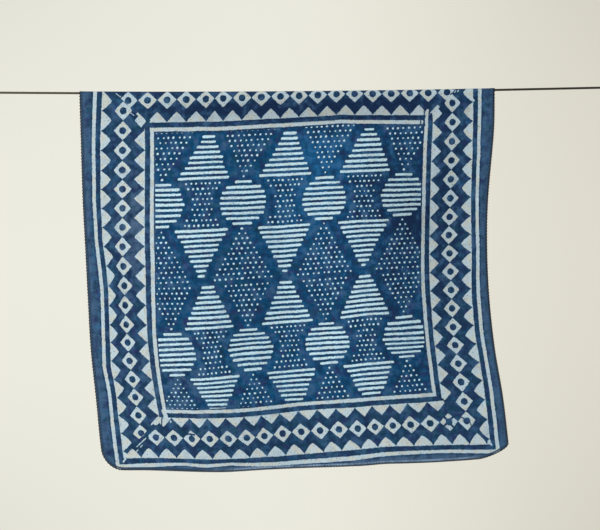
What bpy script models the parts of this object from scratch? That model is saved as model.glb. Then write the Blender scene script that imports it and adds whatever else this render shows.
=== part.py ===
"""A square ajrakh cloth of block-printed indigo cotton, hung over a thin taut line.

The cloth hangs unfolded in front of the line and turns over it to a short flap
behind. The line is looped at both ends through a wall eye and held by a crimped
ferrule.

Frame: +X to the right, +Z up, the front faces -Y. The origin lies on the wall
plane, midway between the two eyes, at the height of the line's ends.
All sizes below are in millimetres.
"""

import math

import bmesh
import bpy

MM = 0.001

# The cloth as cut
CLOTH_WIDTH = 559.0
CLOTH_LENGTH = 552.0
CLOTH_THICK = 1.0
CLOTH_LEFT = -295.0
# Lines of the weave that the sideways drift is given at, from the left edge
LEFT_FRAME = 97.0
RIGHT_FRAME = 469.0

# Rounded corners: how far each reaches across, how far along, the power of its curve
LEFT_CORNER = (26.0, 26.0, 2.0)
BACK_RIGHT_CORNER = (34.0, 34.0, 2.0)
FRONT_RIGHT_CORNER = (42.0, 16.5, 1.45)

# The line and what it leaves free
LINE_DIAMETER = 3.0
LINE_FROM_WALL = 36.0
LINE_MEAN_SLOPE = 0.0138
CLEAR_HALF = 415.0
GAP = 0.3

# The loop at each end of the line
FERRULE_LENGTH = 12.0
FERRULE_WALL = 1.0
FERRULE_BREAK = 0.3
TAIL_LENGTH = 5.0
TAIL_DROP = LINE_DIAMETER + GAP
LEG_LENGTH = 16.0
LOOP_RADIUS = 6.0

# The wall eye
RING_RADIUS = 5.2
RING_BAR = 1.6
PLATE_RADIUS = 12.0
PLATE_THICK = 3.0
COLLAR_RADIUS = 4.2
COLLAR_END = 6.0
SHANK_RADIUS = 2.2
EDGE_BREAK = 0.8
NECK_IN_BAR = 0.4
TURN_STEPS = 24
BAR_SIDES = 10

# Where the loop meets the ring's bar, and the ring's middle behind it
LOOP_CENTRE = CLEAR_HALF + FERRULE_LENGTH + LEG_LENGTH
BAR_X = LOOP_CENTRE + LOOP_RADIUS - (RING_BAR + GAP + LINE_DIAMETER / 2)
EYE_X = BAR_X + RING_RADIUS

# How the cloth lies round the line
WRAP_RADIUS = LINE_DIAMETER / 2 + GAP + CLOTH_THICK / 2
WRAP_ARC = WRAP_RADIUS * math.pi / 2

# Grid of the cloth: columns across, rows down the front, rows on the flap
COLUMNS = 32
FRONT_ROWS = 22
FLAP_ROWS = 2
WRAP_ROWS = 6
CORNER_ROWS = 5

# The flap behind the line: from the left edge, length from crest to back hem
FLAP = (
    (0.0, 41.0),
    (280.0, 44.4),
    (559.0, 50.5),
)

# The front hem: from the left edge, height
HEM = (
    (0.0, -509.5),
    (30.0, -510.2),
    (66.0, -510.0),
    (162.0, -512.0),
    (225.0, -510.0),
    (290.0, -509.0),
    (355.0, -506.2),
    (390.0, -503.4),
    (420.0, -502.8),
    (485.0, -501.0),
    (559.0, -497.0),
)

# Sideways drift: drop below the crest, then X of the left edge, the left frame
# line, the right frame line and the right edge
DRIFT = (
    (0.0, -294.2, -198.0, 174.0, 263.1),
    (53.0, -293.4, -198.3, 173.0, 262.2),
    (147.0, -292.6, -199.1, 167.6, 254.6),
    (215.0, -290.2, -199.0, 165.8, 253.4),
    (282.0, -287.3, -198.2, 167.3, 255.8),
    (350.0, -283.5, -194.5, 171.3, 262.2),
    (417.0, -276.4, -185.5, 179.4, 272.5),
    (471.0, -271.3, -178.5, 187.0, 278.2),
    (512.0, -266.0, -173.2, 192.2, 282.0),
)

# Folds: from the left edge, how far forward at mid height, how far at the hem
FOLDS = (
    (0.0, -15.0, -6.0),
    (50.0, -10.0, -1.0),
    (97.0, 0.0, 4.0),
    (167.0, 9.0, 8.0),
    (225.0, 2.0, 3.0),
    (285.0, -7.0, -5.0),
    (340.0, 1.0, 0.0),
    (392.0, 9.0, 4.0),
    (440.0, 6.0, 4.0),
    (475.0, -3.0, 1.0),
    (515.0, -10.0, -3.0),
    (559.0, -15.0, -6.0),
)
FOLDS_FULL_AT = 235.0

# Soft creases: start across and down, end across and down, half width, depth
CREASES = (
    (38.0, 360.0, 128.0, 494.0, 13.0, -2.6),
    (128.0, 280.0, 168.0, 400.0, 15.0, -1.6),
    (405.0, 250.0, 330.0, 330.0, 14.0, -1.4),
    (268.0, 70.0, 318.0, 190.0, 18.0, 1.6),
)

INDIGO = (0.022, 0.075, 0.16, 1.0)
DARK_LINE = (0.035, 0.028, 0.018, 1.0)
CRIMP_METAL = (0.42, 0.41, 0.39, 1.0)
EYE_METAL = (0.55, 0.53, 0.49, 1.0)


def smooth_curve(table, column, at):
    """The table's column at a place, on a smooth curve through its rows."""
    places = [row[0] for row in table]
    values = [row[column] for row in table]
    at = min(max(at, places[0]), places[-1])
    last = len(table) - 2
    i = next((n for n in range(last + 1) if at <= places[n + 1]), last)
    step = places[i + 1] - places[i]

    def slope(n):
        low = max(n - 1, 0)
        high = min(n + 1, len(table) - 1)
        return (values[high] - values[low]) / (places[high] - places[low])

    u = (at - places[i]) / step
    start = (2 * u**3 - 3 * u**2 + 1) * values[i] + (u**3 - 2 * u**2 + u) * step * slope(i)
    end = (3 * u**2 - 2 * u**3) * values[i + 1] + (u**3 - u**2) * step * slope(i + 1)
    return start + end


def ease(u):
    """A smooth rise from 0 to 1."""
    u = min(max(u, 0.0), 1.0)
    return u * u * (3 - 2 * u)


def line_height(x):
    """Height of the line at x: straight beside the cloth, a parabola under its weight."""
    middle = CLOTH_LEFT + CLOTH_WIDTH / 2
    left_slope = LINE_MEAN_SLOPE * (1 - middle / CLEAR_HALF)
    right_slope = LINE_MEAN_SLOPE * (1 + middle / CLEAR_HALF)
    cloth_right = CLOTH_LEFT + CLOTH_WIDTH
    if x <= CLOTH_LEFT:
        return -left_slope * max(x + CLEAR_HALF, 0.0)
    if x >= cloth_right:
        return -right_slope * max(CLEAR_HALF - x, 0.0)
    u = x - CLOTH_LEFT
    start = -left_slope * (CLOTH_LEFT + CLEAR_HALF)
    return start - left_slope * u + (left_slope + right_slope) * u * u / (2 * CLOTH_WIDTH)


def across(s, drop):
    """X of the cloth, s across it, at a drop below the crest."""
    left, inner_left, inner_right, right = (smooth_curve(DRIFT, n, drop) for n in (1, 2, 3, 4))
    columns = (
        (0.0, left),
        (LEFT_FRAME, inner_left),
        (RIGHT_FRAME, inner_right),
        (CLOTH_WIDTH, right),
    )
    return smooth_curve(columns, 1, s)


def crease(s, drop, row):
    """How far one soft crease moves the cloth forward."""
    start_s, start_drop, end_s, end_drop, half_width, depth = row
    run_s = end_s - start_s
    run_drop = end_drop - start_drop
    length = math.hypot(run_s, run_drop)
    along = ((s - start_s) * run_s + (drop - start_drop) * run_drop) / length**2
    aside = ((s - start_s) * run_drop - (drop - start_drop) * run_s) / length
    fade = ease(2.5 * along) * ease(2.5 * (1 - along))
    return depth * fade * math.exp(-((aside / half_width) ** 2))


def forward(s, drop):
    """How far the cloth stands forward of the line at a drop below the crest."""
    at_middle = smooth_curve(FOLDS, 1, s)
    at_hem = smooth_curve(FOLDS, 2, s)
    if drop < FOLDS_FULL_AT:
        folds = at_middle * ease(drop / FOLDS_FULL_AT)
    else:
        share = ease((drop - FOLDS_FULL_AT) / (CLOTH_LENGTH - FOLDS_FULL_AT))
        folds = at_middle + (at_hem - at_middle) * share
    return folds + sum(crease(s, drop, row) for row in CREASES)


def cloth_point(s, t):
    """The cloth's middle surface: s from its left edge, t from its back hem."""
    arc = t - smooth_curve(FLAP, 1, s)
    crest_x = across(s, 0.0)
    base = line_height(crest_x)
    if abs(arc) <= WRAP_ARC:
        turn = arc / WRAP_RADIUS
        return (
            crest_x,
            -LINE_FROM_WALL - WRAP_RADIUS * math.sin(turn),
            base + WRAP_RADIUS * math.cos(turn),
        )
    hang = abs(arc) - WRAP_ARC
    if arc < 0:
        y = -LINE_FROM_WALL + WRAP_RADIUS - forward(s, hang)
        return (crest_x, y, base - hang)
    full = CLOTH_LENGTH - smooth_curve(FLAP, 1, s) - WRAP_ARC
    z = base + (smooth_curve(HEM, 1, s) - base) * hang / full
    y = -LINE_FROM_WALL - WRAP_RADIUS - forward(s, hang)
    return (across(s, hang), y, z)


def row_places(s_share):
    """The rows' t at one share of the width, dense at the crest and the round corners."""
    crest = smooth_curve(FLAP, 1, s_share * CLOTH_WIDTH)
    reach = max(LEFT_CORNER[1], BACK_RIGHT_CORNER[1])
    corner = [
        reach * (1 - math.sin(math.pi / 2 * n / CORNER_ROWS)) for n in range(CORNER_ROWS, 0, -1)
    ]
    flap_start = reach
    flap_end = crest - WRAP_ARC
    flap = [flap_start + (flap_end - flap_start) * n / FLAP_ROWS for n in range(FLAP_ROWS)]
    wrap = [crest + WRAP_ARC * (2 * n / WRAP_ROWS - 1) for n in range(WRAP_ROWS + 1)]
    front_start = crest + WRAP_ARC
    front_end = CLOTH_LENGTH - reach
    front = [
        front_start + (front_end - front_start) * (n / FRONT_ROWS) for n in range(1, FRONT_ROWS)
    ]
    return corner + flap + wrap + front + [CLOTH_LENGTH - t for t in [reach] + corner[::-1]]


def corner_inset(t, back, front):
    """How far a side's two corners draw its edge in at t."""
    reach, depth, power = back if t < CLOTH_LENGTH / 2 else front
    near_hem = min(t, CLOTH_LENGTH - t)
    if near_hem >= depth:
        return 0.0
    rise = 1 - near_hem / depth
    return reach * (1 - max(1 - rise**power, 0.0) ** (1 / power))


def material(name, colour, roughness, metallic=0.0):
    made = bpy.data.materials.new(name)
    made.use_nodes = True
    shader = made.node_tree.nodes["Principled BSDF"]
    shader.inputs["Base Color"].default_value = colour
    shader.inputs["Roughness"].default_value = roughness
    shader.inputs["Metallic"].default_value = metallic
    return made


def add_object(name, data, finish):
    made = bpy.data.objects.new(name, data)
    bpy.context.collection.objects.link(made)
    data.materials.append(finish)
    return made


def mesh_from(name, shape):
    """A mesh of a finished bmesh, smooth but for its sharp edges."""
    bmesh.ops.recalc_face_normals(shape, faces=shape.faces)
    mesh = bpy.data.meshes.new(name)
    shape.to_mesh(mesh)
    shape.free()
    mesh.shade_smooth()
    mesh.set_sharp_from_angle(angle=math.radians(40))
    return mesh


def build_cloth():
    """The cloth as a sheet on a grid of its weave, thickened both ways."""
    shape = bmesh.new()
    grid = []
    for n in range(COLUMNS + 1):
        share = n / COLUMNS
        column = []
        for t in row_places(share):
            left = corner_inset(t, LEFT_CORNER, LEFT_CORNER)
            right = CLOTH_WIDTH - corner_inset(t, BACK_RIGHT_CORNER, FRONT_RIGHT_CORNER)
            s = left + share * (right - left)
            column.append(shape.verts.new([MM * c for c in cloth_point(s, t)]))
        grid.append(column)
    for left, right in zip(grid, grid[1:]):
        for n in range(len(left) - 1):
            shape.faces.new((left[n], left[n + 1], right[n + 1], right[n]))
    mesh = bpy.data.meshes.new("cloth")
    shape.to_mesh(mesh)
    shape.free()
    mesh.shade_smooth()
    cloth = add_object("cloth", mesh, material("indigo cotton", INDIGO, 0.95))
    sheet = cloth.modifiers.new("thickness", "SOLIDIFY")
    sheet.thickness = CLOTH_THICK * MM
    sheet.offset = 0.0
    sheet.use_even_offset = True
    return cloth


def loop_points():
    """The right-hand loop as (x, height): through the ferrule, round the bar and back."""
    leg_steps = 6
    bend_steps = 12
    points = [(CLEAR_HALF, 0.0), (CLEAR_HALF + FERRULE_LENGTH, 0.0)]
    for n in range(1, leg_steps + 1):
        u = n / leg_steps
        points.append((LOOP_CENTRE + LEG_LENGTH * (u - 1), LOOP_RADIUS * ease(u)))
    for n in range(1, bend_steps):
        turn = math.pi * n / bend_steps
        points.append(
            (LOOP_CENTRE + LOOP_RADIUS * math.sin(turn), LOOP_RADIUS * math.cos(turn))
        )
    for n in range(leg_steps + 1):
        u = n / leg_steps
        rise = (LOOP_RADIUS - TAIL_DROP) * ease(u)
        points.append((LOOP_CENTRE - LEG_LENGTH * u, -LOOP_RADIUS + rise))
    points.append((CLEAR_HALF, -TAIL_DROP))
    points.append((CLEAR_HALF - TAIL_LENGTH, -TAIL_DROP))
    return points


def line_points():
    """The whole line from its left tail to its right tail, as (x, height)."""
    right = loop_points()
    left = [(-x, z) for x, z in reversed(right)]
    steps = 28
    reach = CLEAR_HALF * (1 - 1 / steps)
    span = [-reach + 2 * reach * n / steps for n in range(steps + 1)]
    return left + [(x, line_height(x)) for x in span] + right


def build_line():
    """The line as one bevelled curve with filled ends."""
    points = line_points()
    curve = bpy.data.curves.new("line", "CURVE")
    curve.dimensions = "3D"
    curve.bevel_depth = LINE_DIAMETER / 2 * MM
    curve.bevel_resolution = 2
    curve.use_fill_caps = True
    spline = curve.splines.new("POLY")
    spline.points.add(len(points) - 1)
    for point, (x, z) in zip(spline.points, points):
        point.co = (x * MM, -LINE_FROM_WALL * MM, z * MM, 1.0)
    return add_object("line", curve, material("dark cord", DARK_LINE, 0.7))


def racetrack(shape, radius, x):
    """One long round outline about the line's two strands, at x from the ferrule's middle."""
    steps = 8
    found = []
    for end in (0.5, -0.5):
        for n in range(steps + 1):
            turn = math.pi * n / steps
            y = radius * math.cos(turn) * 2 * end
            z = radius * math.sin(turn) * 2 * end + TAIL_DROP * end
            found.append(shape.verts.new((x * MM, y * MM, z * MM)))
    return found


def build_ferrule(name, side, finish):
    """A sleeve crimped over the line and its tail."""
    half = FERRULE_LENGTH / 2
    bore = LINE_DIAMETER / 2 + GAP
    outside = bore + FERRULE_WALL
    shape = bmesh.new()
    rings = [
        racetrack(shape, bore, -half),
        racetrack(shape, outside - FERRULE_BREAK, -half),
        racetrack(shape, outside, FERRULE_BREAK - half),
        racetrack(shape, outside, half - FERRULE_BREAK),
        racetrack(shape, outside - FERRULE_BREAK, half),
        racetrack(shape, bore, half),
    ]
    for ring, following in zip(rings, rings[1:] + rings[:1]):
        for n in range(len(ring)):
            m = (n + 1) % len(ring)
            shape.faces.new((ring[n], ring[m], following[m], following[n]))
    ferrule = add_object(name, mesh_from(name, shape), finish)
    ferrule.location = (
        side * (CLEAR_HALF + half) * MM,
        -LINE_FROM_WALL * MM,
        -TAIL_DROP / 2 * MM,
    )
    return ferrule


def spun(name, profile, axis):
    """A mesh of a profile of points turned once round an axis through the origin."""
    shape = bmesh.new()
    verts = [shape.verts.new([MM * c for c in point]) for point in profile]
    edges = [shape.edges.new(pair) for pair in zip(verts, verts[1:])]
    bmesh.ops.spin(
        shape,
        geom=verts + edges,
        cent=(0, 0, 0),
        axis=axis,
        angle=2 * math.pi,
        steps=TURN_STEPS,
    )
    bmesh.ops.remove_doubles(shape, verts=shape.verts, dist=1e-6)
    return mesh_from(name, shape)


def build_wall_eye(name, side, finish):
    """A round wall plate with a collar, a shank and a ring, all one forging."""
    neck_end = RING_RADIUS + NECK_IN_BAR - LINE_FROM_WALL
    profile = (
        (0.0, 0.0, 0.0),
        (PLATE_RADIUS, 0.0, 0.0),
        (PLATE_RADIUS, EDGE_BREAK - PLATE_THICK, 0.0),
        (PLATE_RADIUS - EDGE_BREAK, -PLATE_THICK, 0.0),
        (COLLAR_RADIUS, -PLATE_THICK, 0.0),
        (COLLAR_RADIUS, EDGE_BREAK - COLLAR_END, 0.0),
        (COLLAR_RADIUS - EDGE_BREAK, -COLLAR_END, 0.0),
        (SHANK_RADIUS, -COLLAR_END, 0.0),
        (SHANK_RADIUS, RING_RADIUS + 2 * RING_BAR - LINE_FROM_WALL, 0.0),
        (RING_BAR, neck_end, 0.0),
        (0.0, neck_end, 0.0),
    )
    eye = add_object(name, spun(name, profile, (0, 1, 0)), finish)
    eye.location = (side * EYE_X * MM, 0.0, 0.0)

    turns = [2 * math.pi * n / BAR_SIDES for n in range(BAR_SIDES + 1)]
    bar = [(RING_RADIUS + RING_BAR * math.cos(a), 0.0, RING_BAR * math.sin(a)) for a in turns]
    ring_name = f"{name}_ring"
    ring = add_object(ring_name, spun(ring_name, bar, (0, 0, 1)), finish)
    ring.location = (side * EYE_X * MM, -LINE_FROM_WALL * MM, 0.0)
    ring.hide_render = True
    ring.display_type = "WIRE"
    union = eye.modifiers.new("ring", "BOOLEAN")
    union.operation = "UNION"
    union.solver = "EXACT"
    union.object = ring
    return eye


def main():
    for leftover in list(bpy.data.objects):
        bpy.data.objects.remove(leftover)
    build_cloth()
    build_line()
    crimp = material("crimped alloy", CRIMP_METAL, 0.45, 1.0)
    forged = material("plated steel", EYE_METAL, 0.35, 1.0)
    for side, word in ((-1, "left"), (1, "right")):
        build_ferrule(f"ferrule_{word}", side, crimp)
        build_wall_eye(f"wall_eye_{word}", side, forged)


if __name__ == "__main__":
    main()
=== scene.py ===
"""The looks of an ajrakh cloth hung over a thin taut line.

A square of cotton, dyed indigo and printed in resist by hand blocks, with an
overlocked edge, the braided line that it hangs over, and the crimped ferrules and
wall eyes that hold the line.

Sizes are in millimetres, and MM turns them into metres. The frame is the part's
own: +X to the right, +Z up, the front faces -Y, and the origin lies on the wall
plane, midway between the two wall eyes. On the cloth, s runs across from its left
edge and t from its back hem, over the line and down the front.
"""

import logging
import math
from collections.abc import Callable, Sequence
from dataclasses import dataclass
from enum import Enum
from functools import cached_property

import bmesh
import bpy
from mathutils import Matrix, Vector, noise

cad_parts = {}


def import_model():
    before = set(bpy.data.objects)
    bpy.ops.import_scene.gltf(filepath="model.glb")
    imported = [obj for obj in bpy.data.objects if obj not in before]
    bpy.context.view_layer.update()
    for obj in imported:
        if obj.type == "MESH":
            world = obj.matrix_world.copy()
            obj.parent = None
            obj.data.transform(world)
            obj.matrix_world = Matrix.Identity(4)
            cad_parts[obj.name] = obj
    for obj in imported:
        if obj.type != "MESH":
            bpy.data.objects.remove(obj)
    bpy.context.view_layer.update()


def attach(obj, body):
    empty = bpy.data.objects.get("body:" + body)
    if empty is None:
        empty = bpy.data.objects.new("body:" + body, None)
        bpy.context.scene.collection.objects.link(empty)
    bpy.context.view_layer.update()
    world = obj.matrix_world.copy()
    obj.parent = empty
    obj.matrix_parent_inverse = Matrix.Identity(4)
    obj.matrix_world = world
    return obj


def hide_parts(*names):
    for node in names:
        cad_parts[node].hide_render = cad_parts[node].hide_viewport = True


MM = 0.001
# Where an edge starts to count as sharp, in degrees
SHARP = 35.0
LOG = logging.getLogger("ajrakh")
Table = Sequence[Sequence[float]]
Point = tuple[float, float, float]
Number = "Term | float"


class Side(Enum):
    """The two ends of the line, with the sign of their X."""

    LEFT = -1
    RIGHT = 1

    @property
    def word(self) -> str:
        """The side's name as the part's nodes spell it."""
        return self.name.lower()


class Face(Enum):
    """The two faces of the cloth."""

    PRINTED = "printed"
    REVERSE = "reverse"


def between(table: Table, column: int, at: float) -> float:
    """Read a table's column on straight runs between its rows.

    Args:
        table: Rows whose first value is the place, in rising order.
        column: Which value to read.
        at: The place; past either end the last run goes straight on.

    Returns:
        The value at that place.
    """
    i = 0
    while i < len(table) - 2 and at > table[i + 1][0]:
        i += 1
    low = table[i]
    high = table[i + 1]
    return low[column] + (high[column] - low[column]) * (at - low[0]) / (high[0] - low[0])


def smooth_curve(table: Table, column: int, at: float) -> float:
    """Read a table's column on a smooth curve through its rows.

    Args:
        table: Rows whose first value is the place, in rising order.
        column: Which value to read.
        at: The place, held between the table's ends.

    Returns:
        The value at that place.
    """
    places = [row[0] for row in table]
    values = [row[column] for row in table]
    at = min(max(at, places[0]), places[-1])
    last = len(table) - 2
    i = next((n for n in range(last + 1) if at <= places[n + 1]), last)
    step = places[i + 1] - places[i]

    def slope(n: int) -> float:
        """The curve's slope at row n."""
        low = max(n - 1, 0)
        high = min(n + 1, len(table) - 1)
        return (values[high] - values[low]) / (places[high] - places[low])

    u = (at - places[i]) / step
    start = (2 * u**3 - 3 * u**2 + 1) * values[i] + (u**3 - 2 * u**2 + u) * step * slope(i)
    end = (3 * u**2 - 2 * u**3) * values[i + 1] + (u**3 - u**2) * step * slope(i + 1)
    return start + end


def ease(u: float) -> float:
    """A smooth rise from 0 to 1."""
    u = min(max(u, 0.0), 1.0)
    return u * u * (3 - 2 * u)


# Modelling helpers


def nothing_selected() -> None:
    """Leave edit mode and deselect every object, so an operator acts on one piece."""
    if bpy.context.object and bpy.context.object.mode != "OBJECT":
        bpy.ops.object.mode_set(mode="OBJECT")
    bpy.ops.object.select_all(action="DESELECT")


def select_only(piece: bpy.types.Object) -> None:
    """Make one piece the active one and the only one selected."""
    nothing_selected()
    piece.select_set(True)
    bpy.context.view_layer.objects.active = piece


def name_piece(name: str) -> bpy.types.Object:
    """Name the piece just added and put its place into its mesh.

    Args:
        name: The piece's name.

    Returns:
        The piece.
    """
    piece = bpy.context.object
    piece.name = name
    piece.data.name = name
    bpy.ops.object.transform_apply(location=True, rotation=True, scale=True)
    return piece


def pick_verts(piece: bpy.types.Object, wanted: Callable[[Vector], bool]) -> None:
    """Select, in edit mode, only the points that a test wants.

    Args:
        piece: The piece in edit mode.
        wanted: Says of a point, in metres, whether it is picked.
    """
    bpy.ops.mesh.select_mode(type="VERT")
    shape = bmesh.from_edit_mesh(piece.data)
    for vert in shape.verts:
        vert.select_set(wanted(vert.co))
    shape.select_flush_mode()
    bmesh.update_edit_mesh(piece.data)


def pick_faces(piece: bpy.types.Object, wanted: Callable[[bmesh.types.BMFace], bool]) -> None:
    """Select, in edit mode, only the faces that a test wants.

    Args:
        piece: The piece in edit mode.
        wanted: Says of a face whether it is picked.
    """
    bpy.ops.mesh.select_mode(type="FACE")
    shape = bmesh.from_edit_mesh(piece.data)
    for face in shape.faces:
        face.select_set(False)
    for face in shape.faces:
        if wanted(face):
            face.select_set(True)
    bmesh.update_edit_mesh(piece.data)


def apply_modifiers(piece: bpy.types.Object) -> None:
    """Apply every modifier of a piece, top to bottom."""
    select_only(piece)
    for modifier in list(piece.modifiers):
        bpy.ops.object.modifier_apply(modifier=modifier.name)


def round_edges(piece: bpy.types.Object, width: float, steps: int = 2) -> None:
    """Round a piece's sharp edges.

    Args:
        piece: The piece.
        width: How much of each face the rounding takes.
        steps: Facets of the rounding.
    """
    bevel = piece.modifiers.new("round", "BEVEL")
    bevel.width = width * MM
    bevel.segments = steps
    bevel.limit_method = "ANGLE"
    bevel.angle_limit = math.radians(SHARP)
    bevel.use_clamp_overlap = True
    apply_modifiers(piece)


def shade_by_angle(piece: bpy.types.Object, degrees: float = SHARP) -> None:
    """Shade a piece smooth but for its sharp edges."""
    select_only(piece)
    bpy.ops.object.shade_smooth_by_angle(angle=math.radians(degrees))


def mesh_piece(
    name: str,
    points: Sequence[Point],
    faces: Sequence[Sequence[int]],
) -> bpy.types.Object:
    """A smooth mesh object from points in millimetres.

    Args:
        name: The piece's name.
        points: The points.
        faces: The faces, as rows of point numbers.

    Returns:
        The piece, at the origin.
    """
    mesh = bpy.data.meshes.new(name)
    mesh.from_pydata([[MM * c for c in point] for point in points], [], faces)
    mesh.update()
    mesh.shade_smooth()
    piece = bpy.data.objects.new(name, mesh)
    bpy.context.collection.objects.link(piece)
    return piece


def finish_piece(piece: bpy.types.Object, *looks: bpy.types.Material) -> None:
    """Give a piece its materials, let it ride on the one body and report it.

    Args:
        piece: The finished piece.
        looks: Its materials, in the order of its slots.
    """
    slots = piece.data.materials
    while len(slots) < len(looks):
        slots.append(None)
    for n, look in enumerate(looks):
        slots[n] = look
    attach(piece, "root")
    LOG.info("%s: %d faces", piece.name, len(piece.data.polygons))


# Writing a material as sums


class Term:
    """A number on its way through a node tree."""

    def __init__(self, graph: "Sums", socket: bpy.types.NodeSocket) -> None:
        """Keep the tree and the socket that gives the number."""
        self.graph = graph
        self.socket = socket

    def _do(self, operation: str, *others: "Number") -> "Term":
        """The result of one sum on this number and others."""
        return self.graph.math(operation, self, *others)

    def __add__(self, other: "Number") -> "Term":
        """This plus the other."""
        return self._do("ADD", other)

    __radd__ = __add__

    def __sub__(self, other: "Number") -> "Term":
        """This less the other."""
        return self._do("SUBTRACT", other)

    def __rsub__(self, other: float) -> "Term":
        """The other less this."""
        return self.graph.math("SUBTRACT", other, self)

    def __mul__(self, other: "Number") -> "Term":
        """This times the other."""
        return self._do("MULTIPLY", other)

    __rmul__ = __mul__

    def __truediv__(self, other: "Number") -> "Term":
        """This over the other."""
        return self._do("DIVIDE", other)

    def __abs__(self) -> "Term":
        """The size of this without its sign."""
        return self._do("ABSOLUTE")

    def power(self, exponent: "Number") -> "Term":
        """This, held above nothing, to a power."""
        return self.greatest(0.0)._do("POWER", exponent)

    def held(self) -> "Term":
        """This, held between 0 and 1."""
        return self.greatest(0.0).least(1.0)

    def root(self) -> "Term":
        """The square root, or nothing below nothing."""
        return self.greatest(0.0)._do("SQRT")

    def sine(self) -> "Term":
        """The sine of this, in radians."""
        return self._do("SINE")

    def nearest(self) -> "Term":
        """The nearest whole number."""
        return self._do("ROUND")

    def from_whole(self) -> "Term":
        """How far this is past the nearest whole number, from -0.5 to 0.5."""
        return self - self.nearest()

    def least(self, other: "Number") -> "Term":
        """The lesser of the two."""
        return self._do("MINIMUM", other)

    def greatest(self, other: "Number") -> "Term":
        """The greater of the two."""
        return self._do("MAXIMUM", other)

    def below(self, limit: "Number") -> "Term":
        """1 where this is below the limit, or else 0."""
        return self._do("LESS_THAN", limit)

    def above(self, limit: "Number") -> "Term":
        """1 where this is above the limit, or else 0."""
        return self._do("GREATER_THAN", limit)

    def inside(self, soft: float) -> "Term":
        """How much of a place lies inside a shape that this is the distance to.

        Args:
            soft: How wide the shape's edge fades, in millimetres.

        Returns:
            1 inside, 0 outside, and a smooth fade at the edge.
        """
        return self.graph.fade(self, soft, -soft)


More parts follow.
